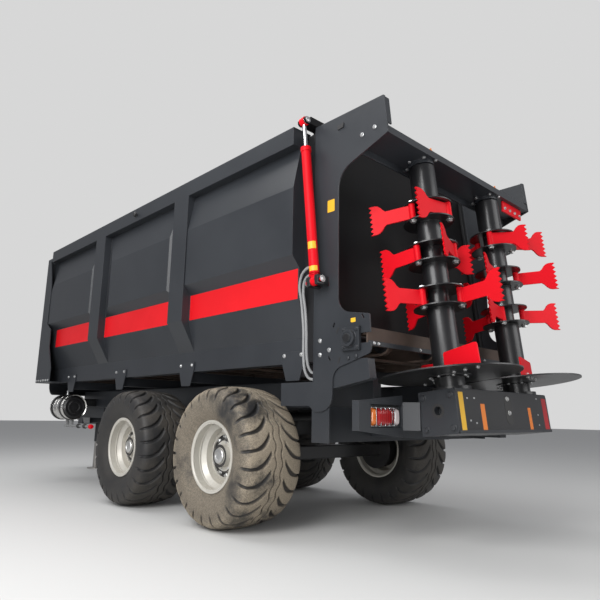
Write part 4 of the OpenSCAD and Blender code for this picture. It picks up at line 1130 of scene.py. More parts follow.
    def hub_shell(self, turn: float) -> Shell:
        """Wheel nuts on their circle, the hub's own bolts and its cap, about +Y on the outer side.

        Args:
            turn: angle of the first nut.

        Returns:
            The three as one shell.
        """
        outward = basis(OUTWARD)
        first = np.radians(turn)
        nut = joined([hex_bolt(self.nut), turned(self.stud, sides=10)])
        twists = np.stack([outward @ turn_z(self.nut_twist * i) for i in range(self.nuts)])
        nuts = nut.repeated(twists, about_y(self.nut_circle, self.disc_face, even_angles(self.nuts, first)))
        inner = about_y(self.hub_circle, self.hub_face, even_angles(self.hub_bolts, first))
        cap = turned(self.cap, sides=32).moved(outward, (0.0, self.cap_face, 0.0))
        return joined([nuts, hex_bolt(self.hub_bolt).at(inner, outward), cap])

    def rim_shell(self) -> Shell:
        """The rolled edges of the rim and the welded block that guards its valve, about +Y.

        Returns:
            Edges and guard as one shell.
        """
        edges = joined([bead(*sizes) for sizes in self.rim_beads]).moved(basis(OUTWARD))
        guard = block(self.guard_size, self.guard_bevel)
        return joined([edges, guard.moved(basis(self.guard_facing, OUTWARD), self.guard_place)])

    def shade_ring_shell(self) -> Shell:
        """Dark rings of painted shade about +Y: in the gap round the hub, and on the seats of the nuts and
        the cap.
        """
        return joined([ring(*sizes) for sizes in self.shade_ring_sizes]).moved(basis(OUTWARD))

    def build(self, palette: Palette) -> None:
        """Makes the four tyres and the hubs' dressing.

        Args:
            palette: the materials.
        """
        shell, lug, crown = self.tread()
        dusty = Rubber("earthy_tyre_rubber", self.earthy).material(palette.shared)
        clean = Rubber("clean_tyre_rubber", self.clean).material(palette.shared)
        for end, x, turn in zip(("rear", "front"), (0.0, self.axle_gap), self.nut_turns):
            for side in Side:
                place = f"{end}_{side.word}"
                body = f"wheel_{place}"
                mid = spot(x, side.value * self.half_track, self.radius)
                rubber = dusty if end == "rear" and side is Side.LEFT else clean
                tyre = to_object(f"tread_{place}", shell.moved(None, mid), rubber, body, self.crease)
                for label, values in (("lug", lug), ("crown", crown)):
                    layer = tyre.data.attributes.new(label, "FLOAT", "POINT")
                    layer.data.foreach_set("value", values.astype(np.float32))
                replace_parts(tyre, f"tyre_{place}")
                for label, made, coat in (
                    ("wheel_nuts", self.hub_shell(turn), Coat.ZINC),
                    ("rim_edges", self.rim_shell(), Coat.RIM),
                    # Dark rings of painted shade round the hub, the nuts and the cap
                    ("hub_gaps", self.shade_ring_shell(), Coat.PLASTIC),
                ):
                    palette.put(f"{label}_{place}", made.on(side).moved(None, mid), coat, body)


@dataclass
class Hopper:
    """Plain red bands, fasteners and knobs on the hopper's sides."""

    bands: tuple[Pair, ...] = ((2.90, 4.19), (0.98, 2.61), (-0.872, 0.69))
    band_y: float = 1.2001
    band_low: float = 1.846
    band_high: float = 2.094
    band_corner: float = 0.004
    # The tapered brackets under the sill, their bolts' spread, face and height
    brackets: tuple[float, ...] = (3.68, 2.24, 0.81, -0.75)
    bracket_half: float = 0.10
    bracket_y: float = 1.129
    bracket_z: float = 1.41
    # The row of bolts on a front corner
    row_ends: Pair = (4.11, 4.55)
    row_count: int = 6
    row_y: float = 1.288
    row_z: float = 1.372
    bolt: float = 0.024
    knob: Profile = ((0.014, 0.0), (0.014, 0.012), (0.026, 0.016), (0.028, 0.034), (0.020, 0.044))
    knob_place: Triple = (1.812, 1.288, 3.217)

    def build(self, palette: Palette) -> None:
        """Makes the bands, the rail knobs, the bracket bolts and the row of bolts on the front corners.

        Args:
            palette: the materials.
        """
        out = basis(OUTWARD, FORWARD)
        mid_z = (self.band_low + self.band_high) / 2
        films = [
            patch(high - low, self.band_high - self.band_low, self.band_corner)
            .moved(out, spot((low + high) / 2, self.band_y, mid_z))
            for low, high in self.bands
        ]
        palette.put("red_bands", both_sides(joined(films)), Coat.BAND)
        knob = turned(self.knob, sides=20).moved(basis(OUTWARD), spot(*self.knob_place))
        palette.put("rail_knobs", both_sides(knob), Coat.PLASTIC)
        spread = (-self.bracket_half, self.bracket_half)
        places = [spot(x + d, self.bracket_y, self.bracket_z) for x in self.brackets for d in spread]
        places += [spot(x, self.row_y, self.row_z) for x in np.linspace(*self.row_ends, self.row_count)]
        palette.put("sill_bolts", both_sides(scattered(hex_bolt(self.bolt), places, OUTWARD)), Coat.ZINC)


@dataclass
class RearFrame:
    """Bolts, bearing rings, slots and blank films on the side plates, the slots being dark films of painted
    shade, and a bracket under the top beam.

    Places on the plates are given by X and Z.
    """

    face: float = 1.147
    bolts: tuple[Pair, ...] = (
        (-1.074, 1.497), (-1.169, 1.421), (-1.075, 1.390), (-1.504, 3.045), (-1.626, 3.064))
    bolt: float = 0.024
    # The flange bearing, its bolts' half spread and height, and its rings by radii, foot, top and steps
    bearing: Pair = (-1.396, 1.485)
    bearing_half: float = 0.064
    bearing_rise: float = 0.026
    bearing_rings: tuple[tuple[float, float, float, float, int], ...] = (
        (0.0605, 0.043, 0.057, 0.061, 40), (0.036, 0.022, 0.057, 0.064, 32))
    bearing_bead: Triple = (0.0605, 0.004, 0.028)
    bearing_bolt: float = 0.022
    rivets: tuple[Pair, ...] = ((-1.358, 1.350), (-1.434, 1.359))
    rivet: Pair = (0.017, 0.012)
    # The small tab near the top, and the slots, dark films of painted shade, by place and turn
    tab: tuple[Pair, ...] = ((-0.035, -0.022), (0.035, -0.016), (0.028, 0.020), (-0.030, 0.014))
    tab_place: Pair = (-1.288, 3.196)
    tab_depth: float = 0.010
    tab_bevel: float = 0.002
    slots: tuple[tuple[Pair, float], ...] = (((-1.255, 1.560), 62.0), ((-1.268, 1.338), 68.0))
    slot_size: Pair = (0.052, 0.013)
    slot_corner: float = 0.0062
    slot_bevel: float = 0.0003
    # The red bracket that hangs under the right end of the top beam
    bracket_size: Triple = (0.38, 0.016, 0.105)
    bracket_bevel: float = 0.004
    bracket_place: Triple = (-1.70, -0.87, 2.981)
    bracket_bolts: tuple[float, ...] = (-1.02, -0.92, -0.82, -0.72)
    bracket_bolt_x: float = -1.7085
    bracket_bolt_z: float = 2.915
    bracket_bolt: float = 0.022
    # Blank films by place and size
    films: tuple[tuple[Pair, Pair], ...] = (
        ((-1.183, 2.558), (0.075, 0.10)), ((-1.407, 1.622), (0.045, 0.032)))
    film_corner: float = 0.005

    def on_plate(self, place: Pair, rise: float = 0.0) -> Array:
        """A point on the left plate's outer face, or raised from it."""
        return spot(place[0], self.face + rise, place[1])

    def build(self, palette: Palette) -> None:
        """Makes the plates' fasteners and films, the bearings' rings, the slots as dark films of painted
        shade, and the bracket.

        Args:
            palette: the materials.
        """
        out = basis(OUTWARD, FORWARD)
        bolts = scattered(hex_bolt(self.bolt), [self.on_plate(p) for p in self.bolts], OUTWARD)
        palette.put("plate_bolts", both_sides(bolts), Coat.ZINC)
        palette.put("bearing_dress", both_sides(self.bearing_shell(out)), Coat.GREY)
        tab = plate(self.tab, self.tab_depth, self.tab_bevel).moved(out, self.on_plate(self.tab_place))
        # Each slot is a thin dark film: painted shade of its opening
        slot = plate(rounded_box(*self.slot_size, self.slot_corner, steps=6), FILM, self.slot_bevel)
        slots = [slot.moved(out @ turn_z(angle), self.on_plate(p)) for p, angle in self.slots]
        palette.put("plate_slots", both_sides(joined([tab, *slots])), Coat.PLASTIC)
        hung = block(self.bracket_size, self.bracket_bevel)
        palette.put("beam_bracket", hung.moved(basis(DOWNWARD, OUTWARD), spot(*self.bracket_place)), Coat.RED)
        heads = [spot(self.bracket_bolt_x, y, self.bracket_bolt_z) for y in self.bracket_bolts]
        palette.put("bracket_bolts", scattered(hex_bolt(self.bracket_bolt), heads, BACKWARD), Coat.ZINC)
        films = [patch(*size, self.film_corner).moved(out, self.on_plate(p)) for p, size in self.films]
        palette.put("plate_films", both_sides(joined(films)), Coat.YELLOW)

    def bearing_shell(self, out: Array) -> Shell:
        """The left bearing's bolts and rings, and the two rivets below it.

        Args:
            out: the turn that lays a piece on the plate.

        Returns:
            All of them as one shell.
        """
        x, z = self.bearing
        ends = (-self.bearing_half, self.bearing_half)
        corners = [self.on_plate((x + dx, z + dz), self.bearing_rise) for dx in ends for dz in ends]
        rounds = joined([ring(*sizes) for sizes in self.bearing_rings] + [bead(*self.bearing_bead)])
        return joined([
            scattered(hex_bolt(self.bearing_bolt), corners, OUTWARD),
            rounds.moved(out, self.on_plate(self.bearing)),
            scattered(dome_head(*self.rivet), [self.on_plate(p) for p in self.rivets], OUTWARD),
        ])


@dataclass
class GearBeam:
    """Blank strips, patches and bolts on the beam under the discs, a black film of painted shade over its
    rear face, and dark rings of painted shade in its end holes.

    Places on the rear face are given by Y and by the height along the rotors' lean from the discs' level, and
    films by place, width and height.
    """

    half_depth: float = 0.150
    end_y: float = 0.731
    film_corner: float = 0.003
    # The black film of painted shade over the whole rear face, and its thickness
    back: tuple[float, ...] = (0.0, -0.262, 1.452, 0.296)
    back_depth: float = 0.0006
    yellow: tuple[float, ...] = (0.664, -0.272, 0.060, 0.272)
    red: tuple[float, ...] = (-0.668, -0.274, 0.080, 0.264)
    orange: tuple[tuple[float, ...], ...] = ((0.378, -0.310, 0.060, 0.195), (-0.372, -0.318, 0.052, 0.187))
    marks: tuple[Pair, ...] = (
        (0.579, -0.177), (0.482, -0.174), (0.567, -0.332), (0.49, -0.349),
        (-0.538, -0.148), (-0.524, -0.28), (-0.519, -0.362))
    mark_size: Pair = (0.020, 0.012)
    slot_size: Pair = (0.225, 0.115)
    slot_corner: float = 0.05
    slot_depth: float = 0.0020
    slot_bevel: float = 0.0005
    slot_place: Pair = (-0.02, -0.247)
    flange_size: Triple = (0.022, 1.462, 0.008)
    flange_bevel: float = 0.002
    flange_up: float = -0.409
    rear_bolts: tuple[Pair, ...] = ((-0.01, -0.165), (-0.015, -0.272))
    rear_bolt: float = 0.026
    rear_rise: float = 0.0018
    # Bolts of an end plate by distance ahead of the axis and height, and the dark ring of painted shade in
    # its hole
    end_bolts: tuple[Pair, ...] = ((0.109, -0.155), (-0.109, -0.155), (0.109, -0.38), (-0.109, -0.38))
    end_bolt: float = 0.034
    collar: Pair = (0.050, 0.0302)
    hole_shade_up: float = -0.2535

    def place(self, ahead: float, y: float, up: float) -> Array:
        """A point given ahead of, across and up the leaning rotor axes from the discs' level."""
        return spot(ROTOR_FOOT[0], 0.0, ROTOR_FOOT[2]) + LEANING @ np.array([ahead, y, up])

    def on_back(self, shell: Shell, y: float, up: float) -> Shell:
        """A shell laid on the beam's rear face, its X up the lean."""
        return shell.moved(basis(-LEANING[:, 0], LEANING[:, 2]), self.place(-self.half_depth, y, up))

    def film(self, y: float, up: float, width: float, height: float, depth: float = FILM) -> Shell:
        """A thin patch on the beam's rear face, by its middle and its two sizes."""
        return self.on_back(patch(height, width, self.film_corner, depth, depth / 3), y, up)

    def build(self, palette: Palette) -> None:
        """Makes the beam's films, the black one over the rear face being painted shade, its slot, flange and
        bolts, and the dark rings of painted shade in the end holes.

        Args:
            palette: the materials.
        """
        # A black film over the rear face: painted shade
        palette.put("beam_back", self.film(*self.back, self.back_depth), Coat.BLACK)
        palette.put("beam_yellow_strip", self.film(*self.yellow), Coat.YELLOW)
        palette.put("beam_red_strip", self.film(*self.red), Coat.REFLEX)
        palette.put("beam_patches", joined([self.film(*p) for p in self.orange]), Coat.ORANGE)
        palette.put("beam_marks", joined([self.film(*p, *self.mark_size) for p in self.marks]), Coat.ZINC)
        outline = rounded_box(*self.slot_size, self.slot_corner, steps=7)
        slot = plate(outline, self.slot_depth, self.slot_bevel)
        palette.put("beam_slot", self.on_back(slot, *self.slot_place), Coat.PLASTIC)
        flange = block(self.flange_size, self.flange_bevel)
        palette.put("beam_flange", self.on_back(flange, 0.0, self.flange_up), Coat.GREY)
        rear = [self.place(-self.half_depth - self.rear_rise, *p) for p in self.rear_bolts]
        palette.put("beam_bolts", scattered(hex_bolt(self.rear_bolt), rear, -LEANING[:, 0]), Coat.ZINC)
        ends = [self.place(ahead, self.end_y, up) for ahead, up in self.end_bolts]
        bolts = scattered(hex_bolt(self.end_bolt), ends, OUTWARD)
        palette.put("beam_end_bolts", both_sides(bolts), Coat.GREY)
        # A dark ring in each end hole: painted shade of the hole's inside
        collar = ring(*self.collar, 0.0, FILM, sides=40)
        collar = collar.moved(basis(OUTWARD), self.place(0.0, self.end_y, self.hole_shade_up))
        palette.put("end_hole_collars", both_sides(collar), Coat.PLASTIC)


@dataclass
class TailLamps:
    """Lamps of three ribbed lenses on a black base, in the panels beside the gear beam."""

    face_x: float = -1.529
    mid_y: float = 0.986
    mid_z: float = 0.943
    width: float = 0.345
    height: float = 0.150
    corner: float = 0.012
    rise: float = 0.022
    bevel: float = 0.003
    # Lenses by name, place across and width, then how they sit on the base and how far they bulge
    lenses: tuple[tuple[str, float, float, Coat], ...] = (
        ("lamp_amber", 0.134, 0.052, Coat.AMBER), ("lamp_red", 0.005, 0.196, Coat.LENS),
        ("lamp_clear", -0.128, 0.058, Coat.CLEAR))
    lens_drop: float = 0.006
    lens_margin: float = 0.030
    lens_sink: float = 0.0005
    lens_bulge: float = 0.022
    lens_skirt: float = 0.004
    lens_grid: tuple[int, int] = (9, 41)
    # Share of the base that a lens fills, how its ends and its sides draw in, and its ribs
    lens_fill: float = 0.99
    end_pinch: float = 0.10
    side_pinch: float = 0.04
    rib_height: float = 0.0012
    rib_waves: int = 9
    # Bright bars between and round the lenses
    bars: tuple[float, ...] = (0.106, 0.054, 0.005, -0.044, -0.096)
    bar_w: float = 0.006
    bar_h: float = 0.018
    bar_margin: float = 0.024
    rail_l: float = 0.322
    rail_h: float = 0.014
    rail_inset: float = 0.012
    bar_bevel: float = 0.002
    # The tapering webs of the panel
    panel_x: float = -1.574
    web_y: float = 0.800
    web_z: float = 0.100
    web_l: float = 0.485
    web_taper: float = 0.048
    web_t: float = 0.012
    web_bevel: float = 0.001

    def lens(self, width: float, height: float) -> Shell:
        """A lens over its base: a bulge (1 - u^6)(1 - v^6) with cosine ribs across, on a closed skirt.

        Args:
            width: size across.
            height: size upright.

        Returns:
            Face and skirt.
        """
        rows, cols = self.lens_grid
        u = np.linspace(-1, 1, cols)[None, :]
        v = np.linspace(-1, 1, rows)[:, None]
        w = width / 2 * (self.lens_fill - self.end_pinch * np.abs(v) ** 3)
        h = height / 2 * (self.lens_fill - self.side_pinch * np.abs(u) ** 4)
        bulge = self.lens_bulge * (1 - np.abs(u) ** 6) * (1 - np.abs(v) ** 6)
        ribs = self.rib_height * np.cos(u * math.pi * self.rib_waves) * (1 - u**4)
        grid = np.stack([u * w, v * h, np.maximum(bulge + ribs, 0.0)], -1)
        rim = border(grid)
        foot = rim * [1, 1, 0] + [0, 0, -self.lens_skirt]
        face = Shell(grid.reshape(-1, 3), grid_quads(rows, cols))
        return joined([face, rings(np.stack([foot, rim]), True, False)])

    def build(self, palette: Palette) -> None:
        """Makes the bases in the place of their solids, the lenses, their bright frames and the panels' webs.

        Args:
            palette: the materials.
        """
        turn = basis(BACKWARD, INWARD)
        base = plate(rounded_box(self.width, self.height, self.corner), self.rise, self.bevel)
        base = base.moved(turn, spot(self.face_x, self.mid_y, self.mid_z))
        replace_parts(palette.put("lamp_bases", both_sides(base), Coat.PLASTIC), "lamps")
        front, low = self.face_x - self.rise, self.mid_z - self.lens_drop
        for name, y, wide, coat in self.lenses:
            lens = self.lens(wide, self.height - self.lens_margin)
            lens = lens.moved(turn, spot(front + self.lens_sink, self.mid_y + y, low))
            palette.put(name, both_sides(lens), coat)
        upright = block((self.bar_w, self.height - self.bar_margin, self.bar_h), self.bar_bevel)
        bars = [upright.moved(turn, spot(front, self.mid_y + y, low)) for y in self.bars]
        rail = block((self.rail_l, self.bar_w, self.rail_h), self.bar_bevel)
        reach = self.height / 2 - self.rail_inset
        bars += [rail.moved(turn, spot(front, self.mid_y, low + k * reach)) for k in (1, -1)]
        palette.put("lamp_frames", both_sides(joined(bars)), Coat.CHROME)
        palette.put("lamp_webs", both_sides(joined([self.web(k) for k in (1, -1)])), Coat.GREY)

    def web(self, k: int) -> Shell:
        """The upper web of the left panel for 1, the lower for -1: a wedge that grows towards the gear beam.

        Args:
            k: which of the two, as the sign of Z.

        Returns:
            The web.
        """
        corners = np.array([(self.web_l, 0.0), (0.0, 0.0), (0.0, k * self.web_taper)])
        wedge = plate(corners[::k], self.web_t, self.web_bevel)
        place = spot(self.panel_x, self.web_y, self.mid_z + k * self.web_z)
        return wedge.moved(basis(BACKWARD, OUTWARD) @ HANGING, place)


Blade = tuple[int, float, float]


@dataclass
class Rotors:
    """Blades, vanes, sleeves, welds and fasteners of the beaters and their discs.

    Heights count along the leaning axis from the discs' level. A blade is given by its flange pair, the angle
    of its bolt and the angle it points in.
    """

    levels: tuple[float, ...] = (1.290, 0.940, 0.588)
    gap: float = 0.130
    flange: float = 0.010
    circle: float = 0.165
    left_blades: tuple[Blade, ...] = (
        (0, 78, 20), (0, 198, 80), (0, 318, 300),
        (1, 78, 0), (1, 198, 108), (1, 318, 218),
        (2, 78, 72), (2, 198, 176), (2, 318, 342),
    )
    right_blades: tuple[Blade, ...] = (
        (0, 110, 228), (0, 230, 236), (0, 350, 330),
        (1, 110, 104), (1, 230, 216), (1, 350, 330),
        (2, 110, 100), (2, 230, 236), (2, 350, 340),
    )
    blade_l: float = 0.350
    blade_tip: float = 0.248
    blade_neck: float = 0.114
    blade_t: float = 0.012
    # Distances along a blade, each with its share of the growth from neck to tip
    flare: Profile = (
        (0.0127, 0.0), (0.11, 0.0), (0.213, 0.0), (0.232, 0.22), (0.252, 0.62), (0.275, 0.90), (0.300, 1.0))
    # Teeth, the places of a crest and a root as shares of a tooth, and how far the first corner stands back
    teeth: int = 6
    tooth_d: float = 0.024
    tooth_shares: Pair = (0.15, 0.6)
    corner_back: float = 0.012
    bush: Pair = (0.025, 0.0124)
    bush_play: float = 0.0005
    blade_nut: float = 0.038
    # A vane's outer corners by setback and share of height, its inner ones by distance and share, its foot
    vane_turn: Pair = (169.0, 100.0)
    vane_l: float = 0.310
    vane_h: float = 0.152
    vane_t: float = 0.010
    vane_in: float = 0.134
    vane_off: float = 0.177
    vane_bevel: float = 0.001
    vane_outer: Profile = ((0.006, 0.9), (0.014, 0.985), (0.03, 1.0))
    vane_inner: Profile = ((0.012, 0.87), (0.002, 0.80))
    vane_foot: float = 0.050
    foot_off: float = 0.020
    foot_margin: float = 0.03
    foot_bevel: float = 0.002
    # Bolts through a vane's foot, and those under the disc
    foot_bolts: tuple[float, ...] = (0.05, 0.15, 0.26)
    foot_bolt_y: float = 0.030
    foot_bolt: float = 0.020
    foot_nut: float = 0.022
    disc_top: float = 0.010
    disc_bolts: int = 8
    disc_circle: float = 0.135
    disc_under: float = -0.006
    disc_bolt: float = 0.020
    # Tube and sleeves, with the welds' radius on the middle sleeves, thickness and distance from a flange
    tube_r: float = 0.0884
    sleeve_r: float = 0.104
    sleeve_play: float = 0.0005
    sleeve_top: float = 1.7015
    middle_r: float = 0.098
    weld: float = 0.004
    weld_off: float = 0.003
    # Bolts and nipple at the top beam
    beam: float = 1.743
    beam_bolts: int = 6
    beam_circle: float = 0.122
    beam_phase: float = 15.0
    beam_bolt: float = 0.022
    nipple: Profile = (
        (0.011, 0.0), (0.011, 0.010), (0.006, 0.012), (0.006, 0.022), (0.008, 0.026), (0.004, 0.032))
    nipple_place: Triple = (-0.118, 0.02, 0.060)

    @property
    def reach(self) -> float:
        """Distance from the middle of a flange pair to its outer faces."""
        return self.gap / 2 + self.flange

    def seat(self, side: Side) -> Array:
        """The foot of a rotor's axis."""
        x, y, z = ROTOR_FOOT
        return spot(x, side.value * y, z)

    def blade(self) -> Shell:
        """A blade along X on a bush about Z: a sheet that grows from neck to tip and ends in a zigzag.

        A point of the sheet has a share v of the half height h(x), and x runs along the blade up to the reach
        of the teeth at v, which falls by the tooth depth between two crests.

        Returns:
            The sheet and the bush.
        """
        crests = (np.arange(self.teeth)[:, None] + np.array(self.tooth_shares)).ravel()
        v = (1 - 2 * np.concatenate([[0.0], crests, [self.teeth]]) / self.teeth)[::-1]
        zigzag = np.tile([self.blade_l, self.blade_l - self.tooth_d], self.teeth)
        tips = np.concatenate([[self.blade_l - self.corner_back], zigzag, [self.blade_l]])[::-1]
        along, share = np.array(self.flare).T
        neck, half = self.blade_neck / 2, self.blade_tip / 2
        tall = np.concatenate([neck + (half - neck) * share, [half]])
        x = np.concatenate([np.broadcast_to(along[:, None], (len(along), len(v))), tips[None]])
        sheet = thick_sheet(np.stack([x, 0 * x, v[None] * tall[:, None]], -1), self.blade_t, OUTWARD)
        end = self.gap / 2 - self.bush_play
        return joined([sheet, ring(*self.bush, -end, end, sides=20)])

    def vane(self) -> Shell:
        """A vane along X: an upright sheet with a sloping top and cut corners, on a foot on the disc.

        Returns:
            The sheet and its foot.
        """
        l, h = self.vane_l, self.vane_h
        edge = [(0.0, 0.0), (l, 0.0)] + [(l - back, h * share) for back, share in self.vane_outer]
        edge += [(x, h * share) for x, share in self.vane_inner]
        upright = plate(np.array(edge), self.vane_t, self.vane_bevel)
        upright = upright.moved(basis(INWARD, FORWARD), (0.0, self.vane_t / 2, 0.0))
        foot = block((l - self.foot_margin, self.vane_foot, self.vane_t), self.foot_bevel)
        return joined([upright, foot.moved(None, (l / 2, self.foot_off, 0.0))])

    def vane_places(self, side: Side) -> tuple[list[Array], list[Array]]:
        """Turns and places of a disc's two vanes, set off to one side of the axis.

        Args:
            side: which rotor.

        Returns:
            The two turns and the two places.
        """
        first = self.vane_turn[0] if side is Side.LEFT else self.vane_turn[1]
        turns = [turn_z(first + 180.0 * i) for i in range(2)]
        place = np.array([self.vane_in, -side.value * self.vane_off, self.disc_top])
        return turns, [turn @ place for turn in turns]

    def build(self, palette: Palette) -> None:
        """Makes the blades and vanes in the place of their solids, then the fasteners, sleeves and welds.

        Args:
            palette: the materials.
        """
        for side, blades in ((Side.LEFT, self.left_blades), (Side.RIGHT, self.right_blades)):
            word, place = side.word, self.seat(side)
            body = f"rotor_{word}"
            pairs, bolts, points = (np.array(column) for column in zip(*blades))
            mids = about_z(self.circle, np.array(self.levels)[pairs], np.radians(bolts))
            made = self.blade().repeated(np.stack([turn_z(a) for a in points]), mids).moved(LEANING, place)
            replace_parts(palette.put(f"toothed_blades_{word}", made, Coat.RED, body), f"blades_{word}")
            turns, spots = self.vane_places(side)
            vanes = self.vane().repeated(np.stack(turns), np.stack(spots)).moved(LEANING, place)
            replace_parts(palette.put(f"disc_vanes_{word}", vanes, Coat.RED, body), f"vanes_{word}")
            nuts = joined([self.blade_nuts(mids, bolts), self.disc_nuts(turns, spots)])
            palette.put(f"rotor_nuts_{word}", nuts.moved(LEANING, place), Coat.ZINC, body)
            self.dress_tube(palette, side)

    def blade_nuts(self, mids: Array, bolts: Array) -> Shell:
        """Nuts over and under the flange pairs, at the blades' bolts.

        Args:
            mids: middles of the bolts.
            bolts: their angles.

        Returns:
            The nuts as one shell.
        """
        rise = np.array([0.0, 0.0, self.reach])
        turns = [turn_z(a) for a in bolts]
        turns += [HANGING @ turn for turn in turns]
        return hex_bolt(self.blade_nut).repeated(np.stack(turns), np.concatenate([mids + rise, mids - rise]))

    def disc_nuts(self, turns: list[Array], spots: list[Array]) -> Shell:
        """Bolts under the disc, and the bolts and nuts of the vanes' feet.

        Args:
            turns: the vanes' turns.
            spots: the vanes' places.

        Returns:
            All of them as one shell.
        """
        under = about_z(self.disc_circle, self.disc_under, even_angles(self.disc_bolts))
        row = np.array([(x, self.foot_bolt_y, self.vane_t) for x in self.foot_bolts])
        feet = np.concatenate([row @ turn.T + place for turn, place in zip(turns, spots)])
        return joined([
            hex_bolt(self.disc_bolt).at(under, HANGING),
            hex_bolt(self.foot_bolt).at(feet, np.eye(3)),
            hex_bolt(self.foot_nut).at(feet * np.array([1.0, 1.0, 0.0]), HANGING),
        ])

    def dress_tube(self, palette: Palette, side: Side) -> None:
        """Adds the upper sleeve, the weld beads of the sleeves, and the bolts and nipple at the beam.

        Args:
            palette: the materials.
            side: which rotor.
        """
        place = self.seat(side)
        high, middle, low = self.levels
        off = self.reach + self.weld_off
        welds = [(self.sleeve_r, high + off), (self.sleeve_r, low - off)]
        welds += [(self.middle_r, z) for z in (high - off, middle + off, middle - off, low + off)]
        foot = high + self.reach + self.sleeve_play
        sleeve = ring(self.sleeve_r, self.tube_r, foot, self.sleeve_top, sides=64)
        dressed = joined([sleeve] + [bead(r, self.weld, z) for r, z in welds]).moved(LEANING, place)
        palette.put(f"tube_sleeve_{side.word}", dressed, Coat.BLACK, f"rotor_{side.word}")
        angles = even_angles(self.beam_bolts, math.radians(self.beam_phase))
        spots = about_z(self.beam_circle, self.beam, angles)
        bolts = hex_bolt(self.beam_bolt).at(spots, HANGING).moved(LEANING, place)
        palette.put(f"beam_nuts_{side.word}", bolts, Coat.ZINC)
        x, y, rise = self.nipple_place
        seat = place + LEANING @ np.array([x, y, self.beam + rise])
        nipple = turned(self.nipple, sides=12).moved(LEANING, seat)
        palette.put(f"grease_nipple_{side.word}", nipple, Coat.ORANGE)


@dataclass
class DoorCylinders:
    """Jackets, foot covers, blank films, eyes and pin heads of the two cylinders that lift the door.

    Heights along a barrel count from its foot pin.
    """

    pin: Triple = (-0.954, 1.237, 3.336)
    foot_z: float = 1.945
    barrel_top: float = 3.092
    barrel_r: float = 0.032
    # The jacket round a barrel and the collar round its gland, with their ends measured from foot and top
    jacket_r: float = 0.0392
    jacket_play: float = 0.0003
    jacket_low: float = 0.062
    jacket_back: float = 0.042
    jacket_weld: Pair = (0.003, 0.064)
    gland: Pair = (0.044, 0.0364)
    gland_ends: Pair = (0.041, 0.001)
    # Covers of the two ears at a foot
    ear_size: Triple = (0.037, 0.122, 0.073)
    ear_bevel: float = 0.003
    ear_half: float = 0.043
    ear_y: float = -0.0285
    ear_z: float = -0.0365
    # Blank films by height above the ground and width, their angles and how far they stand off the jacket
    films: tuple[Pair, ...] = ((2.229, 0.060), (2.040, 0.040))
    film_angles: Pair = (70.0, 175.0)
    film_off: Pair = (0.0002, 0.0012)
    # Collar of a rod's eye, and the pins' heads with the washer under them and their half spreads
    eye: Pair = (0.038, 0.0303)
    eye_half: float = 0.024
    head: Pair = (0.021, 0.010)
    head_washer: tuple[float, ...] = (0.027, 0.0212, 0.0, 0.004)
    foot_half: float = 0.080
    eye_pin_half: float = 0.046

    def along(self, z: float) -> Array:
        """The point of the left cylinder's axis at a height."""
        x, y, top = self.pin
        return spot(x - (top - z) * math.tan(LEAN), y, z)

    def pin_heads(self, z: float, half: float) -> Shell:
        """The two heads of a pin across the left cylinder.

        Args:
            z: height of the pin.
            half: half its length.

        Returns:
            Both heads.
        """
        head = joined([dome_head(*self.head, sides=18), ring(*self.head_washer, sides=24)])
        ends = [(k, self.along(z) + LEANING @ np.array([half * k, 0.0, 0.0])) for k in (-1.0, 1.0)]
        return joined([head.moved(LEANING @ basis((k, 0.0, 0.0)), place) for k, place in ends])

    def build(self, palette: Palette) -> None:
        """Makes the barrels' jackets and films, the foot covers, the rod eyes' collars and the pin heads.

        Args:
            palette: the materials.
        """
        foot = self.along(self.foot_z)
        length = float(np.linalg.norm(self.along(self.barrel_top) - foot))
        inner = self.barrel_r + self.jacket_play
        jacket = joined([
            ring(self.jacket_r, inner, self.jacket_low, length - self.jacket_back, sides=40),
            bead(self.jacket_r, *self.jacket_weld),
            ring(*self.gland, *(length - back for back in self.gland_ends), sides=40),
        ])
        palette.put("barrel_jackets", both_sides(jacket.moved(LEANING, foot)), Coat.RED)
        ears = [
            block(self.ear_size, self.ear_bevel)
            .moved(LEANING, foot + LEANING @ np.array([k * self.ear_half, self.ear_y, self.ear_z]))
            for k in (-1, 1)
        ]
        palette.put("foot_ears", both_sides(joined(ears)), Coat.BLACK)
        radii = tuple(self.jacket_r + off for off in self.film_off)
        films = [
            arc_band(radii, (-wide / 2, wide / 2), self.film_angles).moved(LEANING, self.along(z))
            for z, wide in self.films
        ]
        palette.put("barrel_films", both_sides(joined(films)), Coat.YELLOW)
        eye = ring(*self.eye, -self.eye_half, self.eye_half)
        eye = eye.moved(LEANING @ basis(FORWARD), self.along(self.pin[2]))
        palette.put("rod_eye_collars", both_sides(eye), Coat.RED, Body.DOOR.value)
        palette.put("foot_pin_heads", both_sides(self.pin_heads(self.foot_z, self.foot_half)), Coat.ZINC)
        heads = both_sides(self.pin_heads(self.pin[2], self.eye_pin_half))
        palette.put("eye_pin_heads", heads, Coat.ZINC, Body.DOOR.value)


@dataclass
class FloorGuard:
    """The grey strip and bolts along the foot of the guard behind the chain floor."""

    face_x: float = -1.532
    half_w: float = 1.128
    low: float = 1.432
    high: float = 1.466
    depth: float = 0.005
    bevel: float = 0.001
    corner: float = 0.003
    bolts: tuple[float, ...] = (1.07, 1.02, 0.50, 0.0, -0.50, -1.02, -1.07)
    bolt: float = 0.018

    def build(self, palette: Palette) -> None:
        """Makes the strip and its bolts.

        Args:
            palette: the materials.
        """
        mid = (self.low + self.high) / 2
        strip = patch(2 * self.half_w, self.high - self.low, self.corner, self.depth, self.bevel)
        strip = strip.moved(basis(BACKWARD, OUTWARD), spot(self.face_x, 0.0, mid))
        palette.put("guard_strip", strip, Coat.GREY)
        places = [spot(self.face_x - self.depth, y, mid) for y in self.bolts]
        palette.put("guard_bolts", scattered(hex_bolt(self.bolt), places, BACKWARD), Coat.ZINC)


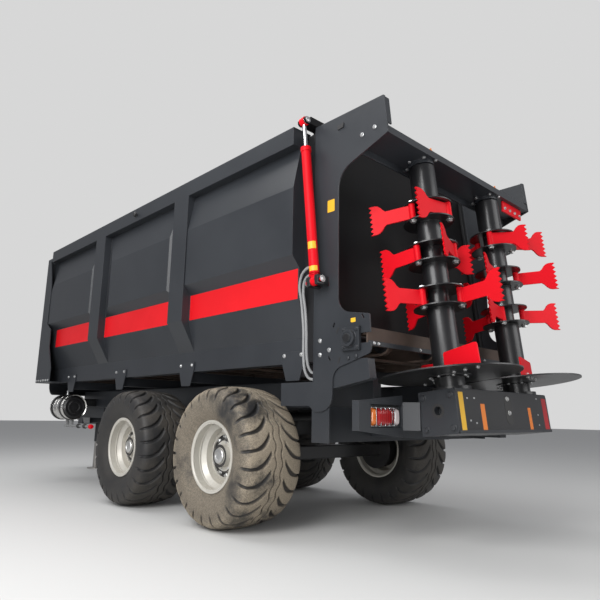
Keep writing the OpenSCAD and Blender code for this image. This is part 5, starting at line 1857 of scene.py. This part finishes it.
@dataclass
class AirTank:
    """The air tank with its ringed rear end, its straps and arms, valve, and the pipe that hangs under it."""

    mid: Triple = (4.135, 0.968, 1.008)
    radius: float = 0.170
    half_l: float = 0.262
    # The wall's two ends, as setbacks from the radius and from the end, then the ringed end and its seat
    rear_edge: Profile = ((0.014, 0.012), (0.006, 0.002), (0.001, 0.0), (0.0, 0.006))
    front_dome: Profile = ((0.0, 0.070), (0.008, 0.042), (0.030, 0.018), (0.070, 0.004), (0.110, 0.0))
    end_rings: Profile = (
        (0.128, 0.014), (0.118, 0.010), (0.092, 0.014), (0.086, 0.022), (0.064, 0.022), (0.058, 0.014),
        (0.020, 0.018))
    # Rolled beads: their thickness, distance from the rear end, from the middle and from the front end
    bead_thick: float = 0.004
    bead_rear: float = 0.035
    bead_middle: float = 0.055
    bead_front: float = 0.075
    steps: int = 72
    # Straps by place, half width, play and outer thickness, and the arms that reach to the frame
    straps: Pair = (-0.15, 0.15)
    strap_half: float = 0.018
    strap_play: float = 0.0004
    strap_out: float = 0.007
    arm_w: float = 0.036
    arm_h: float = 0.10
    arm_up: float = 0.020
    arm_stop: float = 0.13
    bevel: float = 0.003
    valve: Profile = (
        (0.020, 0.0), (0.020, 0.018), (0.012, 0.022), (0.012, 0.045), (0.017, 0.048), (0.017, 0.062),
        (0.008, 0.068))
    valve_x: float = 0.03
    valve_sink: float = 0.002
    # The pipe: height, radius, front end and length, then its hangers and couplings
    pipe_z: float = 0.755
    pipe_r: float = 0.018
    pipe_front: float = 4.15
    pipe_l: float = 0.85
    pipe_points: int = 12
    hangers: Pair = (4.08, 3.93)
    hanger_size: Pair = (0.030, 0.046)
    hanger_under: float = 0.022
    hanger_sink: float = 0.004
    joint: Profile = (
        (0.020, 0.0), (0.030, 0.004), (0.030, 0.030), (0.024, 0.036), (0.024, 0.056), (0.019, 0.060))
    couplings: Pair = (3.70, 3.50)
    red_end: float = 3.315

    def tank(self) -> Shell:
        """The wall with its beads: a profile of radius and length carried round the tank's own axis.

        Returns:
            Wall and beads.
        """
        r, h = self.radius, self.half_l
        wall = [(r - a, -h + b) for a, b in self.rear_edge] + [(r - a, h - b) for a, b in self.front_dome]
        places = (-h + self.bead_rear, -self.bead_middle, self.bead_middle, h - self.bead_front)
        beads = [bead(r, self.bead_thick, d, self.steps) for d in places]
        return joined([turned(wall, self.steps)] + beads).moved(basis(FORWARD), spot(*self.mid))

    def cradle(self) -> Shell:
        """The two straps round the tank, each with an arm that reaches inward to the frame.

        Returns:
            Straps and arms.
        """
        x, y, z = self.mid
        inner = float(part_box("tank_cradle")[0][1])
        reach = y - self.arm_stop - inner
        arm = block((self.arm_w, reach, self.arm_h), self.bevel)
        shells = []
        for d in self.straps:
            ends = (d - self.strap_half, d + self.strap_half)
            strap = ring(self.radius + self.strap_out, self.radius + self.strap_play, *ends, self.steps)
            shells.append(strap.moved(basis(FORWARD), spot(*self.mid)))
            shells.append(arm.moved(None, spot(x + d, inner + reach / 2, z + self.arm_up)))
        return joined(shells)

    def pipe(self) -> Shell:
        """The pipe under the tank with its two hangers.

        Returns:
            Pipe and hangers.
        """
        _, y, z = self.mid
        back = np.linspace(0.0, 1.0, self.pipe_points)[:, None] * np.array([-self.pipe_l, 0.0, 0.0])
        height = z - self.radius + self.hanger_sink - self.pipe_z + self.hanger_under
        hanger = block((*self.hanger_size, height), self.bevel)
        hung = [hanger.moved(None, spot(x, y, self.pipe_z - self.hanger_under)) for x in self.hangers]
        route = back + spot(self.pipe_front, y, self.pipe_z)
        return joined([swept(route, self.pipe_r, sides=14)] + hung)

    def build(self, palette: Palette) -> None:
        """Makes the tank and its hangers in the place of their solids, then the fittings.

        Args:
            palette: the materials.
        """
        x, y, z = self.mid
        edge, inset = self.rear_edge[0]
        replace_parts(palette.put("tank_shell", self.tank(), Coat.STAINLESS), "air_tank")
        cap = turned([(self.radius - edge, 0.0), *self.end_rings], sides=56)
        cap = cap.moved(basis(BACKWARD), spot(x - self.half_l + inset, y, z))
        palette.put("tank_end", cap, Coat.BLACK)
        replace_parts(palette.put("tank_hangers", self.cradle(), Coat.BLACK), "tank_cradle")
        top = spot(x + self.valve_x, y, z + self.radius - self.valve_sink)
        palette.put("tank_valve", turned(self.valve, sides=16).moved(None, top), Coat.ZINC)
        palette.put("tank_pipe", self.pipe(), Coat.HOSE)
        joint = turned(self.joint, sides=18).moved(basis(BACKWARD))
        couplings = [joint.moved(None, spot(place, y, self.pipe_z)) for place in self.couplings]
        palette.put("pipe_couplings", joined(couplings), Coat.PLASTIC)
        palette.put("pipe_red_end", joint.moved(None, spot(self.red_end, y, self.pipe_z)), Coat.RED)


@dataclass
class Drawbar:
    """Bolts of the tow eye's flange, and the cap and crank of the parking jack."""

    eye_z: float = 0.830
    flange_x: float = 5.775
    bolts: int = 6
    bolt_circle: float = 0.056
    bolt_phase: float = 30.0
    bolt: float = 0.018
    jack: Triple = (5.660, -0.2065, 1.150)
    cap: Profile = (
        (0.056, 0.0), (0.058, 0.012), (0.050, 0.020), (0.018, 0.024), (0.014, 0.050), (0.010, 0.054))
    # The crank's route from the jack's top, by Y and Z
    crank: Profile = (
        (0.0, 0.044), (-0.03, 0.046), (-0.10, 0.046), (-0.135, 0.050), (-0.142, 0.075), (-0.142, 0.15))
    crank_r: float = 0.008
    crank_steps: int = 6

    def build(self, palette: Palette) -> None:
        """Makes the flange bolts and the jack's cap and crank.

        Args:
            palette: the materials.
        """
        angles = even_angles(self.bolts, math.radians(self.bolt_phase))
        places = [
            spot(self.flange_x, self.bolt_circle * math.cos(a), self.eye_z + self.bolt_circle * math.sin(a))
            for a in angles
        ]
        palette.put("eye_bolts", scattered(hex_bolt(self.bolt), places, FORWARD), Coat.ZINC)
        top = spot(*self.jack)
        palette.put("jack_cap", turned(self.cap, sides=28).moved(None, top), Coat.BLACK)
        route = smooth_line(np.array([(0.0, y, z) for y, z in self.crank]), self.crank_steps)
        palette.put("jack_crank", swept(route + top, self.crank_r, sides=12), Coat.ZINC)


@dataclass(frozen=True)
class SoftBox:
    """A square area light: its name, place, aim, size and power in watts."""

    name: str
    place: Triple
    aim: Triple
    size: float
    watts: float


@dataclass
class Stage:
    """Floor, surround, lights and camera."""

    floor_half: float = 60.0
    floor_colour: tuple[float, ...] = (0.62, 0.62, 0.61, 1.0)
    floor_rough: float = 0.85
    # What the surround sheds on surfaces, and what the camera sees of it
    shed: tuple[float, ...] = (0.34, 0.345, 0.36, 1.0)
    seen: tuple[float, ...] = (0.68, 0.68, 0.68, 1.0)
    # A key from the rear left, a fill from behind, a low light for the running gear, and a top light
    boxes: tuple[SoftBox, ...] = (
        SoftBox("key", (-4.0, 7.5, 5.5), (-0.5, 0.8, 1.7), 5.0, 600.0),
        SoftBox("fill", (-8.0, -2.0, 3.6), (-2.5, 0.0, 1.6), 4.0, 130.0),
        SoftBox("low", (-6.4, 5.6, 1.0), (-2.4, 1.0, 0.9), 2.5, 110.0),
        SoftBox("top", (1.0, 1.0, 8.5), (0.0, 0.0, 1.5), 7.0, 420.0),
    )
    # The photograph's camera
    eye: Triple = (-5.8855, 4.179, 0.933)
    yaw: float = -43.510
    pitch: float = 11.737
    roll: float = 0.911
    lens_mm: float = 33.536
    sensor_mm: float = 36.0
    clip_end: float = 300.0

    def build(self) -> None:
        """Makes the floor, the surround, the soft lights and the camera."""
        self.floor()
        self.surround()
        self.lights()
        self.camera()

    def floor(self) -> None:
        """A wide plain floor in a pale colour."""
        far = self.floor_half
        mesh = bpy.data.meshes.new("floor")
        corners = [(-far, -far, 0.0), (far, -far, 0.0), (far, far, 0.0), (-far, far, 0.0)]
        mesh.from_pydata(corners, [], [(0, 1, 2, 3)])
        obj = bpy.data.objects.new("floor", mesh)
        bpy.context.scene.collection.objects.link(obj)
        mat, _, shader = new_material("pale_floor")
        shader.inputs["Base Color"].default_value = self.floor_colour
        shader.inputs["Roughness"].default_value = self.floor_rough
        mesh.materials.append(mat)

    def surround(self) -> None:
        """An even surround, paler for the camera and through glass than for the surfaces that it lights."""
        world = bpy.data.worlds.new("studio")
        bpy.context.scene.world = world
        world.use_nodes = True
        s = Sketch(world.node_tree)
        rays = s.add("LightPath").outputs
        direct = s.math("MAXIMUM", rays["Is Camera Ray"], rays["Is Transmission Ray"])
        back = world.node_tree.nodes["Background"]
        s.link(s.mix(direct, self.shed, self.seen), back.inputs["Color"])
        back.inputs["Strength"].default_value = 1.0

    def lights(self) -> None:
        """The soft boxes, each turned towards its aim."""
        for box in self.boxes:
            lamp = bpy.data.lights.new(box.name, "AREA")
            lamp.shape = "SQUARE"
            lamp.size = box.size
            lamp.energy = box.watts
            obj = bpy.data.objects.new(box.name, lamp)
            bpy.context.scene.collection.objects.link(obj)
            obj.matrix_world = self.matrix(basis(np.array(box.place) - np.array(box.aim)), box.place)

    @staticmethod
    def matrix(turn: Array, place: Triple) -> list[tuple[float, ...]]:
        """A four by four placement, as columns for Blender.

        Args:
            turn: the turn, 3 by 3.
            place: the place.

        Returns:
            The four columns.
        """
        m = np.eye(4)
        m[:3, :3] = turn
        m[:3, 3] = place
        return [tuple(row) for row in m.T]

    def camera(self) -> None:
        """The camera at the photograph's place, turned by yaw, pitch and roll."""
        yaw, pitch, roll = (math.radians(v) for v in (self.yaw, self.pitch, self.roll))
        ahead = np.array([math.cos(yaw) * math.cos(pitch), math.sin(yaw) * math.cos(pitch), math.sin(pitch)])
        level = np.array([math.sin(yaw), -math.cos(yaw), 0.0])
        upright = np.cross(level, ahead)
        right = math.cos(roll) * level + math.sin(roll) * upright
        up = -math.sin(roll) * level + math.cos(roll) * upright
        data = bpy.data.cameras.new("photo_camera")
        data.sensor_width = self.sensor_mm
        data.sensor_fit = "HORIZONTAL"
        data.lens = self.lens_mm
        data.clip_end = self.clip_end
        obj = bpy.data.objects.new("photo_camera", data)
        bpy.context.scene.collection.objects.link(obj)
        obj.matrix_world = self.matrix(np.stack([right, up, -ahead], axis=1), self.eye)
        bpy.context.scene.camera = obj


def main() -> None:
    """Builds the finishes, the pieces and the stage, in that order."""
    logging.basicConfig(level=logging.INFO, format="%(message)s")
    bpy.context.scene.view_settings.view_transform = "Standard"
    palette = Palette()
    SolidCoats().dress(palette)
    pieces = (
        Wheels(), Hopper(), RearFrame(), GearBeam(), TailLamps(), Rotors(), DoorCylinders(), FloorGuard(),
        AirTank(), Drawbar(),
    )
    for piece in pieces:
        piece.build(palette)
    Stage().build()


if __name__ == "__main__":
    main()
